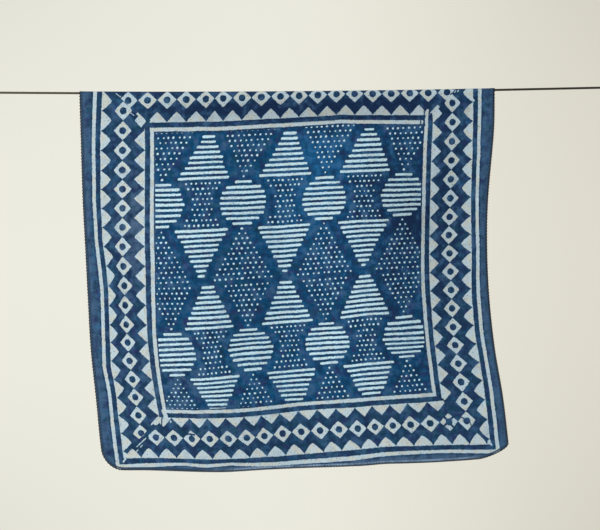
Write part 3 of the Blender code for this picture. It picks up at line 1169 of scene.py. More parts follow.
@dataclass(frozen=True)
class PrintedCotton:
    """Indigo cotton printed in resist: the whole pattern, worked out on the flat cloth.

    Lengths are in millimetres, and each count of lumps is that of a noise in one metre.
    """

    face: Face
    field_blue: Point = (0.004, 0.066, 0.178)
    border_blue: Point = (0.016, 0.055, 0.125)
    plain_blue: Point = (0.048, 0.112, 0.215)
    # The navy is also the colour of the painted shade of the cloud table.
    navy_and_shade: Point = (0.008, 0.024, 0.075)
    violet: Point = (0.028, 0.042, 0.150)
    teal: Point = (0.012, 0.074, 0.118)
    bright_blue: Point = (0.012, 0.13, 0.34)
    # The faded blue is also the colour of the painted light of the cloud table.
    faded_and_lit_blue: Point = (0.075, 0.135, 0.25)
    pale_blue: Point = (0.34, 0.62, 0.90)
    field_white: Point = (0.605, 0.845, 1.0)
    border_white: Point = (0.54, 0.665, 0.775)
    warm_white: Point = (0.60, 0.65, 0.655)
    # How much the whites dim under the navy column, real dye and painted shade alike.
    dimmed_by_dye_and_shade: float = 0.26
    wobble_broad: float = 1.4
    wobble_fine: float = 1.5
    edge_printed: float = 0.35
    edge_reverse: float = 0.8
    halo_reach: float = 0.8
    rim_reach: float = 0.55
    slip_stray: float = 0.8
    length_luck: float = 2.4
    stripe_thinned: float = 0.25
    stripe_luck: float = 0.4
    dot_stray: float = 1.6
    dot_shrunk: float = 0.3
    dot_luck: float = 0.5
    thread_pitch: float = 0.42
    weave_height: float = 0.16
    weave_share: float = 0.35
    fibre_share: float = 0.65
    grain_depth: float = 0.5
    thread_depth: float = 0.35
    threads_lost_in_white: float = 0.6
    roughness: float = 0.92
    gleam: float = 0.08
    reverse_contrast: float = 0.72
    mottling: float = 3.1
    flecking: float = 2.9
    teal_clouds: Fade = Fade(0.01, 0.17, 0.6)
    violet_clouds: Fade = Fade(0.01, 0.18, 0.6)
    violet_patches: Fade = Fade(0.48, 0.7, 0.35)
    bright_clouds: Fade = Fade(0.02, 0.22, 0.3)
    bright_uneven: float = 0.3
    faded_uneven: float = 0.45
    navy_uneven: float = 0.55
    navy_halo: float = 0.7
    cream_patches: Fade = Fade(0.42, 0.62)
    cream_clouded: float = 0.5
    cream_kept_from_field: float = 0.7
    pale_rim: float = 0.6
    specks: Fade = Fade(0.66, 0.73, 0.8)
    bleed: Fade = Fade(0.52, 0.75, 0.15)
    most_dye_in_white: float = 0.8
    broad_lumps: float = 26.0
    fine_lumps: float = 260.0
    slip_lumps: float = 350.0
    mottle_lumps: float = 55.0
    tint_lumps: float = 72.0
    cloud_lumps: float = 95.0
    fleck_lumps: float = 120.0
    grain_lumps: float = 420.0
    speck_lumps: float = 520.0
    fibre_lumps: float = 900.0
    thread_lumps: tuple[float, float] = (900.0, 45.0)

    def material(self) -> bpy.types.Material:
        """Build the material.

        Returns:
            The material, which reads the cloth's UV map and print attributes.
        """
        graph = Graph(f"indigo cotton, {self.face.value}")
        u, v, _ = graph.uv("cloth")
        flat = graph.vector(u, v)
        broad = graph.three_noises(flat, self.broad_lumps, 1.0)
        fine = graph.three_noises(flat, self.fine_lumps, 2.0)
        wobble = [a * self.wobble_broad + b * self.wobble_fine for a, b in zip(broad, fine)]

        border, outward = self.border(graph, wobble)
        field = self.field(graph, wobble)
        in_field = outward.below(FIELD_EDGE)
        shape = self.slips(graph, u, v, in_field * field + (1.0 - in_field) * border)
        white = shape.inside(self.edge_printed if self.face is Face.PRINTED else self.edge_reverse)
        halo = (shape - self.halo_reach).inside(self.halo_reach)
        rim = 1.0 - (shape + self.rim_reach).inside(self.rim_reach)
        dyed = self.dyed(graph, flat, outward, in_field, halo)
        resist = self.resist(graph, flat, in_field, rim)
        graph.paint(self.woven(graph, flat, white, dyed, resist))
        self.surface(graph, flat, u, v)
        return graph.material

    def slips(self, graph: Graph, u: Term, v: Term, shape: Term) -> Term:
        """The printed shapes with the slips of the blocks cut out or added.

        Args:
            graph: The material's nodes.
            u: The flat place across, in metres.
            v: The flat place along, in metres.
            shape: The distance to the printed shapes.

        Returns:
            The distance with the slips in it.
        """
        lumps = graph.noise(graph.vector(u, v), self.slip_lumps, 1.0)
        stray = (lumps * 2.0 - 1.0) * self.slip_stray
        place = graph.vector(u * (1 / MM), v * (1 / MM))
        for *ends, half_width in DYED_SLIPS:
            shape = shape.greatest(half_width - graph.from_run(place, ends[:2], ends[2:]) + stray)
        for *ends, half_width in WHITE_SLIPS:
            shape = shape.least(graph.from_run(place, ends[:2], ends[2:]) - half_width + stray)
        return shape

    def border(self, graph: Graph, wobble: Sequence[Term]) -> tuple[Term, Term]:
        """Distance to the border's printed shapes.

        Args:
            graph: The material's nodes.
            wobble: How far the print strays.

        Returns:
            The distance, less than nothing inside a shape, and the outward distance.
        """
        side_out, side_along, _ = graph.attribute("sides")
        end_out, end_along, _ = graph.attribute("ends")
        end_nearer = end_out.above(side_out)
        outward = end_out.greatest(side_out)
        along = side_along + end_nearer * (end_along - side_along)
        across = abs(outward - BORDER_MIDDLE + wobble[0])
        shifted = along + wobble[1] * (1 / REPEAT)
        from_diamond = abs(shifted.from_whole()) * REPEAT
        from_apex = REPEAT / 2 - from_diamond

        stripe = abs(across - STRIPE_FROM_MIDDLE) - STRIPE_HALF
        rise = (TRIANGLE_BASE - across) / TRIANGLE_HEIGHT
        bulge = outward.above(BORDER_MIDDLE) * OUTER_BULGE
        along_side = (from_apex / (REPEAT / 2)).power(bulge + TRIANGLE_POWERS[0])
        side = along_side + rise.power(bulge + TRIANGLE_POWERS[1]) - 1.0
        triangle = (side * TRIANGLE_STEP).greatest(across - TRIANGLE_BASE)
        lozenge = (from_diamond / DIAMOND_HALF_ALONG).power(DIAMOND_POWER)
        lozenge = lozenge + (across / DIAMOND_HALF).power(DIAMOND_POWER) - 1.0
        hole = DIAMOND_HOLE - (from_diamond * from_diamond + across * across).root()
        diamond = (lozenge * DIAMOND_STEP).greatest(hole)
        return stripe.least(triangle).least(diamond), outward

    def field(self, graph: Graph, wobble: Sequence[Term]) -> Term:
        """Distance to the field's stripes and dots.

        Args:
            graph: The material's nodes.
            wobble: How far the print strays.

        Returns:
            The distance, less than nothing inside a shape.
        """
        first_column, first_row, _ = graph.attribute("first_block")
        second_column, second_row, _ = graph.attribute("second_block")
        lower = second_row.above(SECOND_FROM_ROW)
        column = first_column + lower * (second_column - first_column)
        row = first_row + lower * (second_row - first_row) + wobble[2] * (1 / ROW_PITCH)

        number = row.nearest()
        aside = (row - number) * ROW_PITCH
        from_circle = abs(number - CIRCLE_ROW)
        in_circles = from_circle.below(CIRCLE_HALF_ROWS)
        chord = (CIRCLE_RADIUS**2 - from_circle * from_circle * CIRCLE_FALL).root()
        slope = WIDEST_HALF - STEP_HALF * (from_circle - WIDEST_ROW)
        half = in_circles * chord + (1.0 - in_circles) * slope
        reach = DOTS_ACROSS - half * (DOTS_GIVE_WAY - in_circles * DOTS_ROUND_CIRCLES)
        stripe_column = column - 0.5 + in_circles * 0.5
        stripe_number = stripe_column.nearest()
        row_in_all = number + lower * NEXT_BLOCK
        uneven = graph.chance(stripe_number, row_in_all)
        half = half + (uneven - 0.5) * self.length_luck

        along = abs(stripe_column - stripe_number) * COLUMN_PITCH + wobble[0]
        past_end = (along - (half - FIELD_STRIPE_HALF)).greatest(0.0)
        thick = FIELD_STRIPE_HALF - self.stripe_thinned + uneven * self.stripe_luck
        stripe = (past_end * past_end + aside * aside).root() - thick
        off_block = number.below(-0.5) + stripe_number.below(-0.5)
        off_block = off_block + (stripe_number - in_circles).above(LAST_COLUMN)
        off_block = off_block + number.above(LAST_ROW + 0.5)
        stripe = stripe + off_block * HIDDEN

        stagger = abs((number * 0.5).from_whole())
        pitch = DOT_PITCH - in_circles * DOTS_CLOSER
        dot_column = (stripe_column + 0.5).from_whole() * COLUMN_PITCH / pitch
        shifted = dot_column - stagger
        dot_number = shifted.nearest()
        outside = (abs(dot_number + stagger) * pitch - reach).above(0.0)
        luck = graph.chance(dot_number + stripe_number * NEXT_STRIPE, row_in_all)
        dot_along = (shifted - dot_number) * pitch + (luck - 0.5) * self.dot_stray
        dot_radius = DOT_RADIUS - self.dot_shrunk + luck * self.dot_luck
        dot = (dot_along * dot_along + aside * aside).root() - dot_radius
        return stripe.least(dot + outside * HIDDEN)

    def dyed(
        self,
        graph: Graph,
        flat: Term,
        outward: Term,
        in_field: Term,
        halo: Term,
    ) -> Term:
        """The colour of the dyed ground.

        Args:
            graph: The material's nodes.
            flat: The place on the flat cloth, in metres.
            outward: Distance outward from the inner stripe.
            in_field: 1 inside the inner stripe.
            halo: How near a printed shape is.

        Returns:
            The colour: the ground's own blue, clouded with five others and with the painted shade
                and light of the cloud table.
        """
        navy_and_shade, bright, faded_and_lit = graph.attribute("dye_and_shading")
        tint = graph.noise(flat, self.tint_lumps, 2.0)
        mottle = graph.noise(flat, self.mottle_lumps, 4.0) - 0.5
        flecks = graph.noise(flat, self.fleck_lumps, 4.0) - 0.5
        reddish, bluish, greenish = graph.three_noises(flat, self.cloud_lumps, 4.0)
        uneven = mottle * self.mottling + flecks * self.flecking

        blue = graph.mix(in_field, self.border_blue, self.field_blue)
        blue = graph.mix(graph.fade(outward, PLAIN_FROM, PLAIN_FULL_AT), blue, self.plain_blue)
        blue = graph.mix(self.teal_clouds.of(graph, greenish), blue, self.teal)
        reds = self.violet_patches.of(graph, tint) + self.violet_clouds.of(graph, reddish)
        blue = graph.mix(reds, blue, self.violet)
        # The bright column is partly brighter dye and partly painted light on the field.
        clear = bright + uneven * self.bright_uneven + self.bright_clouds.of(graph, bluish)
        blue = graph.mix(clear.held(), blue, self.bright_blue)
        # Painted light: the faded column lightens the left edge and the curled front hem, on top
        # of the real faded dye.
        blue = graph.mix((faded_and_lit + uneven * self.faded_uneven).held(), blue, self.faded_and_lit_blue)
        # Painted shade: the navy column darkens the ground over folds, turned-back borders and the
        # right edge, on top of the real navy clouds.
        dark = navy_and_shade - uneven * self.navy_uneven + halo * self.navy_halo
        return graph.mix(dark.held(), blue, self.navy_and_shade)

    def resist(self, graph: Graph, flat: Term, in_field: Term, rim: Term) -> Term:
        """The colour of the shapes that the resist kept white.

        Args:
            graph: The material's nodes.
            flat: The place on the flat cloth, in metres.
            in_field: 1 inside the inner stripe.
            rim: How near a printed shape's own edge is.

        Returns:
            The colour: a bluish white, creamy in patches, and dimmer under much dye and under
                painted shade.
        """
        navy_and_shade, _, _ = graph.attribute("dye_and_shading")
        reddish, _, _ = graph.three_noises(flat, self.cloud_lumps, 4.0)
        tint = graph.noise(flat, self.tint_lumps, 2.0)
        cream = self.cream_patches.of(graph, tint + reddish * self.cream_clouded)
        cream = cream * (1.0 - in_field * self.cream_kept_from_field)
        white = graph.mix(in_field, self.border_white, self.field_white)
        white = graph.mix(cream, white, self.warm_white)
        white = graph.mix(rim * self.pale_rim, white, self.pale_blue)
        # Painted shade: the whites dim wherever the navy column darkens the ground, painted shade
        # and dye alike.
        return graph.shaded(white, 1.0 - navy_and_shade.least(1.0) * self.dimmed_by_dye_and_shade)

    def woven(self, graph: Graph, flat: Term, white: Term, dyed: Term, resist: Term) -> Term:
        """Both colours together, with specks of dye and the streaks of the threads.

        Args:
            graph: The material's nodes.
            flat: The place on the flat cloth, in metres.
            white: How far the resist kept the dye out.
            dyed: The colour of the dyed ground.
            resist: The colour of the white shapes.

        Returns:
            The cloth's colour.
        """
        mottle = graph.noise(flat, self.mottle_lumps, 4.0)
        specks = self.specks.of(graph, graph.noise(flat, self.speck_lumps, 2.0))
        stained = (specks + self.bleed.of(graph, mottle)).least(self.most_dye_in_white)
        kept = white * (1.0 - stained)
        if self.face is Face.REVERSE:
            kept = kept * self.reverse_contrast
        pattern = graph.mix(kept, dyed, resist)
        fine, long = self.thread_lumps
        grain = graph.noise(flat, self.grain_lumps, 2.0) - 0.5
        warp = graph.noise(graph.stretched(flat, fine, long), 1.0, 2.0) - 0.5
        weft = graph.noise(graph.stretched(flat, long, fine), 1.0, 2.0) - 0.5
        thread = grain * self.grain_depth + warp * self.thread_depth + weft * self.thread_depth
        return graph.shaded(pattern, thread * (1.0 - white * self.threads_lost_in_white) + 1.0)

    def surface(self, graph: Graph, flat: Term, u: Term, v: Term) -> None:
        """Roughness, sheen and the raised plain weave.

        Args:
            graph: The material's nodes.
            flat: The place on the flat cloth.
            u: Its first number, in metres.
            v: Its second number, in metres.
        """
        turns = 2 * math.pi / (self.thread_pitch * MM)
        over = (u * turns).sine() * (v * turns).sine()
        rough = graph.noise(flat, self.fibre_lumps, 2.0)
        graph.bump(over * self.weave_share + rough * self.fibre_share, self.weave_height)
        graph.gloss(self.roughness, self.gleam)


@dataclass(frozen=True)
class SewingThread:
    """Dyed polyester thread of the overlocked edge, with a painted highlight in streaks along part
    of the front hem.
    """

    name: str
    colour: Point
    # The second colour, painted as a highlight along part of the front hem
    paler: Point
    lit_below: float = -0.46
    lit_from: float = -0.11
    lit_to: float = 0.235
    fade: float = 0.04
    streaks: Fade = Fade(0.35, 0.6)
    strand_lumps: float = 1500.0
    strand_share: float = 0.6
    patch_lumps: float = 60.0
    patch_share: float = 0.4
    twist_height: float = 0.12
    roughness: float = 0.6
    gleam: float = 0.2

    def material(self) -> bpy.types.Material:
        """Build the material, with strands that show as fine streaks."""
        graph = Graph(self.name)
        place = graph.place()
        strands = graph.noise(place, self.strand_lumps, 2.0, flat=False)
        patches = graph.noise(place, self.patch_lumps, 2.0, flat=False)
        x, _, z = graph.parts(place)
        # Painted highlight: paler streaks along part of the front hem, where the curled edge
        # catches the light.
        highlit = (
            graph.fade(z, self.lit_below + self.fade, self.lit_below)
            * graph.fade(x, self.lit_from - self.fade, self.lit_from + self.fade)
            * graph.fade(x, self.lit_to + self.fade / 2, self.lit_to - self.fade / 2)
        )
        paler = strands * self.strand_share + patches * self.patch_share
        share = self.streaks.of(graph, paler) * highlit
        graph.paint(graph.mix(share, self.colour, self.paler))
        graph.bump(strands, self.twist_height)
        graph.gloss(self.roughness, self.gleam)
        return graph.material


# The second colour of each thread is a painted highlight on the front hem. The looper thread's
# near-black is partly its own dye and partly painted shade along the cut edge.
LOOPER_THREAD = SewingThread("looper thread", (0.001, 0.007, 0.020), (0.005, 0.020, 0.052))
SEAM_THREAD = SewingThread("seam thread", (0.036, 0.083, 0.162), (0.35, 0.51, 0.73))


@dataclass(frozen=True)
class BraidedCord:
    """Dark braided cord: strands that cross on the slant, paler towards the left."""

    strands: int = 8
    lay: float = 5.0
    dark: Point = (0.018, 0.015, 0.010)
    paler_brown: Point = (0.085, 0.078, 0.058)
    paler_to_left: Fade = Fade(0.05, -0.42, 0.85)
    fuzz: float = 0.5
    lift: float = 0.18
    fuzz_lumps: float = 900.0
    braid_height: float = 0.35
    strand_share: float = 0.8
    fuzz_share: float = 0.2
    roughness: float = 0.7
    gleam: float = 0.3

    def material(self) -> bpy.types.Material:
        """Build the material from the cord's UV map, along and round in turns."""
        graph = Graph("braided cord")
        along, round_it, _ = graph.uv("cord")
        twist = along * (2 * math.pi / (self.lay * MM))
        turn = round_it * (2 * math.pi * self.strands / 2)
        one_way = abs((turn + twist).sine())
        other_way = abs((turn - twist).sine())
        lift = one_way.greatest(other_way)
        place = graph.place()
        x, _, _ = graph.parts(place)
        fuzz = graph.noise(place, self.fuzz_lumps, 3.0, flat=False)
        # Paler towards the left and on the strand crests, with random fuzz.
        share = self.paler_to_left.of(graph, x) + (fuzz - 0.5) * self.fuzz + lift * self.lift
        graph.paint(graph.mix(share.held(), self.dark, self.paler_brown))
        graph.bump(lift * self.strand_share + fuzz * self.fuzz_share, self.braid_height)
        graph.gloss(self.roughness, self.gleam)
        return graph.material


@dataclass(frozen=True)
class WornMetal:
    """A satin metal with fine scratches, and darker where the hand never rubs it."""

    name: str
    bright: Point
    dull: Point
    roughness: float
    scratch: float
    rougher_where_dull: float = 0.22
    wear: Fade = Fade(0.36, 0.66)
    drawn_out: float = 0.25
    scratch_lumps: float = 2600.0
    scratch_share: float = 0.45
    bloom_lumps: float = 240.0
    bloom_share: float = 0.55

    def material(self) -> bpy.types.Material:
        """Build the material, with its scratches drawn along X."""
        graph = Graph(self.name)
        place = graph.place()
        x, y, z = graph.parts(place)
        drawn = graph.vector(x * self.drawn_out, y, z)
        scratches = graph.noise(drawn, self.scratch_lumps, 3.0, flat=False)
        blooms = graph.noise(place, self.bloom_lumps, 3.0, flat=False)
        paler = scratches * self.scratch_share + blooms * self.bloom_share
        share = self.wear.of(graph, paler)
        graph.paint(graph.mix(share, self.dull, self.bright))
        rough = (1.0 - share) * self.rougher_where_dull + self.roughness
        graph.put(graph.shader.inputs["Roughness"], rough)
        graph.shader.inputs["Metallic"].default_value = 1.0
        graph.bump(scratches, self.scratch)
        return graph.material


CRIMPED_ALLOY = WornMetal("crimped alloy", (0.62, 0.61, 0.59), (0.34, 0.33, 0.31), 0.36, 0.05)
PLATED_STEEL = WornMetal("plated steel", (0.66, 0.64, 0.60), (0.40, 0.385, 0.35), 0.26, 0.03)


# The pieces


@dataclass(frozen=True)
class HangingCloth:
    """The printed cotton: one thin sheet on the folds in which it hangs."""

    drape: Drape
    layout: PrintLayout
    thickness: float = 0.4
    columns: int = 160
    front_rows: int = 132
    flap_rows: int = 4
    wrap_rows: int = 12
    corner_rows: int = 10

    def rows(self, share: float) -> list[float]:
        """The rows' t at one share of the width, dense at the crest and round corners.

        Args:
            share: How far across the cloth, from 0 to 1.

        Returns:
            The rows' places along the cloth.
        """
        drape = self.drape
        crest = smooth_curve(FLAP, 1, share * drape.width)
        reach = drape.corner_reach
        corner = [
            reach * (1 - math.sin(math.pi / 2 * n / self.corner_rows))
            for n in range(self.corner_rows, 0, -1)
        ]
        flap_end = crest - drape.wrap_arc
        flap = [reach + (flap_end - reach) * n / self.flap_rows for n in range(self.flap_rows)]
        wrap = [
            crest + drape.wrap_arc * (2 * n / self.wrap_rows - 1)
            for n in range(self.wrap_rows + 1)
        ]
        front_start = crest + drape.wrap_arc
        front_step = (drape.length - reach - front_start) / self.front_rows
        front = [front_start + front_step * n for n in range(1, self.front_rows)]
        bottom = [drape.length - t for t in [reach] + corner[::-1]]
        return corner + flap + wrap + front + bottom

    def grid(self) -> list[list[tuple[float, float]]]:
        """Places on the flat cloth, column by column."""
        columns = []
        for n in range(self.columns + 1):
            share = n / self.columns
            column = []
            for t in self.rows(share):
                left = self.drape.left_edge(t)
                column.append((left + share * (self.drape.right_edge(t) - left), t))
            columns.append(column)
        return columns

    def build(self) -> bpy.types.Object:
        """Build, thicken and dress the cloth.

        Returns:
            The cloth.
        """
        grid = self.grid()
        flat = [place for column in grid for place in column]
        rows = len(grid[0])
        faces = [
            (n * rows + m, n * rows + m + 1, (n + 1) * rows + m + 1, (n + 1) * rows + m)
            for n in range(self.columns)
            for m in range(rows - 1)
        ]
        cloth = mesh_piece("printed_cloth", [self.drape.point(s, t) for s, t in flat], faces)
        self.mark(cloth.data, flat)
        self.thicken(cloth)
        finish_piece(
            cloth,
            PrintedCotton(Face.PRINTED).material(),
            PrintedCotton(Face.REVERSE).material(),
        )
        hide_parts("cloth")
        return cloth

    def mark(self, mesh: bpy.types.Mesh, flat: Sequence[tuple[float, float]]) -> None:
        """Write the flat place, the print's places and the dye's clouds, with their painted shade
        and light, onto the mesh.

        Args:
            mesh: The single sheet.
            flat: Each point's place on the flat cloth.
        """
        uv = mesh.uv_layers.new(name="cloth")
        for loop in mesh.loops:
            s, t = flat[loop.vertex_index]
            uv.data[loop.index].uv = (s * MM, t * MM)
        readings = (
            ("sides", self.layout.sides),
            ("ends", self.layout.ends),
            ("first_block", self.layout.first_block),
            ("second_block", self.layout.second_block),
            ("dye_and_shading", self.layout.dye_and_shading),
        )
        for name, reading in readings:
            marks = mesh.attributes.new(name, "FLOAT_VECTOR", "POINT")
            for n, (s, t) in enumerate(flat):
                marks.data[n].vector = reading(s, t)

    def thicken(self, cloth: bpy.types.Object) -> None:
        """Give the sheet its thickness, with the reverse on a material of its own."""
        sheet = cloth.modifiers.new("thickness", "SOLIDIFY")
        sheet.thickness = self.thickness * MM
        sheet.offset = 0.0
        sheet.use_even_offset = True
        sheet.material_offset = 1
        cloth.data.materials.append(None)
        cloth.data.materials.append(None)
        apply_modifiers(cloth)


@dataclass(frozen=True)
class OverlockedEdge:
    """The thread sewn over the cut edge all round: slanted loops, a thread along their
    tips and two seam threads beside the edge.
    """

    drape: Drape
    cloth_thickness: float
    pitch: float = 4.2
    thread: float = 0.5
    reach_in: float = 1.7
    reach_out: float = 1.0
    slant: float = 1.6
    tip_in: float = -0.55
    tip_thread: float = 0.75
    tip_sway: float = 0.45
    seams: Table = ((1.35, 0.62), (2.5, 0.5))
    seam_sway: float = 0.4
    flatness: float = 0.6
    bar_share: float = 0.8
    lift_share: float = 0.7
    ring_height: float = 0.9
    look_ahead: float = 1.5
    around: int = 9
    sides: int = 5
    strand_sides: int = 4
    steps_per_loop: int = 4
    corner_steps: int = 14
    probe: float = 2.0

    @cached_property
    def rim(self) -> list[Point]:
        """The cut edge once round, as rows of distance round it, s and t."""
        drape = self.drape
        steps = self.corner_steps
        near = [
            drape.corner_reach * (1 - math.sin(math.pi / 2 * n / steps))
            for n in range(steps, -1, -1)
        ]
        rows = near + [drape.length - t for t in reversed(near)]
        places = [(drape.right_edge(t), t) for t in rows]
        places += [(drape.left_edge(t), t) for t in reversed(rows)]
        places.append(places[0])
        rim = []
        run = 0.0
        for n, place in enumerate(places):
            run += math.dist(places[max(n - 1, 0)], place)
            rim.append((run, *place))
        return rim

    def edge_place(self, run: float) -> Vector:
        """A place on the cut edge, as s and t, at a distance round it."""
        run %= self.rim[-1][0]
        return Vector((between(self.rim, 1, run), between(self.rim, 2, run)))

    def frame_at(self, run: float) -> Matrix:
        """The way from a stitch's own axes to the hanging cloth.

        Args:
            run: Distance round the outline.

        Returns:
            Inward, along and out of the printed face, and the place, in millimetres.
        """
        s, t = self.edge_place(run)
        step = self.look_ahead
        ahead = (self.edge_place(run + step) - self.edge_place(run - step)).normalized()
        in_s = -self.probe * ahead.y
        in_t = self.probe * ahead.x
        here = Vector(self.drape.point(s, t))
        inward = Vector(self.drape.point(s + in_s, t + in_t)) - here
        along = Vector(self.drape.point(s + in_t, t - in_s)) - here
        inward.normalize()
        face = inward.cross(along).normalized()
        along = face.cross(inward)
        return Matrix(
            (
                (inward.x, along.x, face.x, here.x),
                (inward.y, along.y, face.y, here.y),
                (inward.z, along.z, face.z, here.z),
                (0.0, 0.0, 0.0, 1.0),
            )
        )

    def loop(self) -> bpy.types.Object:
        """One slanted loop of thread, modelled by hand from a ring."""
        nothing_selected()
        bpy.ops.mesh.primitive_torus_add(
            major_segments=self.around,
            minor_segments=self.sides,
            major_radius=1.0,
            minor_radius=self.thread * self.bar_share,
            rotation=(math.pi / 2, 0.0, 0.0),
        )
        ring = name_piece("overlock_loop")
        middle = (self.reach_in - self.reach_out) / 2
        long_half = (self.reach_in + self.reach_out) / 2
        short_half = self.cloth_thickness / 2 + self.thread * self.lift_share
        bpy.ops.object.mode_set(mode="EDIT")
        bpy.ops.mesh.select_all(action="SELECT")
        bpy.ops.transform.resize(
            value=(long_half, 1.0, short_half / self.ring_height),
            center_override=(0.0, 0.0, 0.0),
        )
        bpy.ops.transform.translate(value=(middle, 0.0, 0.0))
        pick_verts(ring, lambda point: point.z > 0.0)
        bpy.ops.transform.translate(value=(0.0, self.slant / 2, 0.0))
        pick_verts(ring, lambda point: point.z < 0.0)
        bpy.ops.transform.translate(value=(0.0, -self.slant / 2, 0.0))
        bpy.ops.object.mode_set(mode="OBJECT")
        return ring

    def build(self) -> bpy.types.Object:
        """Copy the loop round the edge and add the tip and seam threads.

        Returns:
            The edge thread, one piece.
        """
        ring = self.loop()
        model = [vert.co.copy() for vert in ring.data.vertices]
        model_faces = [tuple(face.vertices) for face in ring.data.polygons]
        bpy.data.objects.remove(ring)
        outline = self.rim[-1][0]
        count = round(outline / self.pitch)
        points: list[Point] = []
        faces: list[tuple[int, ...]] = []
        for n in range(count):
            frame = self.frame_at(n * outline / count)
            start = len(points)
            points.extend(tuple(frame @ co) for co in model)
            faces.extend(tuple(start + m for m in face) for face in model_faces)
        steps = count * self.steps_per_loop
        tips = (self.tip_in, 0.0)
        self.add_strand(points, faces, steps, tips, self.tip_sway, self.tip_thread)
        dark = len(faces)
        for inward, radius in self.seams:
            seam = (inward, self.cloth_thickness / 2)
            self.add_strand(points, faces, steps, seam, self.seam_sway, radius)
        edge = mesh_piece("edge_thread", points, faces)
        for face in edge.data.polygons:
            face.material_index = int(face.index >= dark)
        finish_piece(edge, LOOPER_THREAD.material(), SEAM_THREAD.material())
        return edge

    def add_strand(
        self,
        points: list[Point],
        faces: list[tuple[int, ...]],
        steps: int,
        place: tuple[float, float],
        sway: float,
        radius: float,
    ) -> None:
        """A thread that runs all round beside the cut edge, from loop to loop.

        Args:
            points: The piece's points so far, added to.
            faces: The piece's faces so far, added to.
            steps: How many steps the closed strand has.
            place: How far inward it runs, and how far in front of the cloth's middle.
            sway: How far each loop pulls it aside.
            radius: Half its thickness.
        """
        sides = self.strand_sides
        start = len(points)
        for n in range(steps):
            frame = self.frame_at(n * self.rim[-1][0] / steps)
            swing = -math.cos(2 * math.pi * n / self.steps_per_loop)
            for m in range(sides):
                turn = 2 * math.pi * m / sides
                inward = place[0] + sway * swing + radius * math.cos(turn)
                front = place[1] + radius * self.flatness * math.sin(turn)
                points.append(tuple(frame @ Vector((inward, 0.0, front))))
        for n in range(steps):
            for m in range(sides):
                a = start + n * sides + m
                b = start + n * sides + (m + 1) % sides
                c = start + ((n + 1) % steps) * sides + (m + 1) % sides
                d = start + ((n + 1) % steps) * sides + m
                faces.append((a, b, c, d))


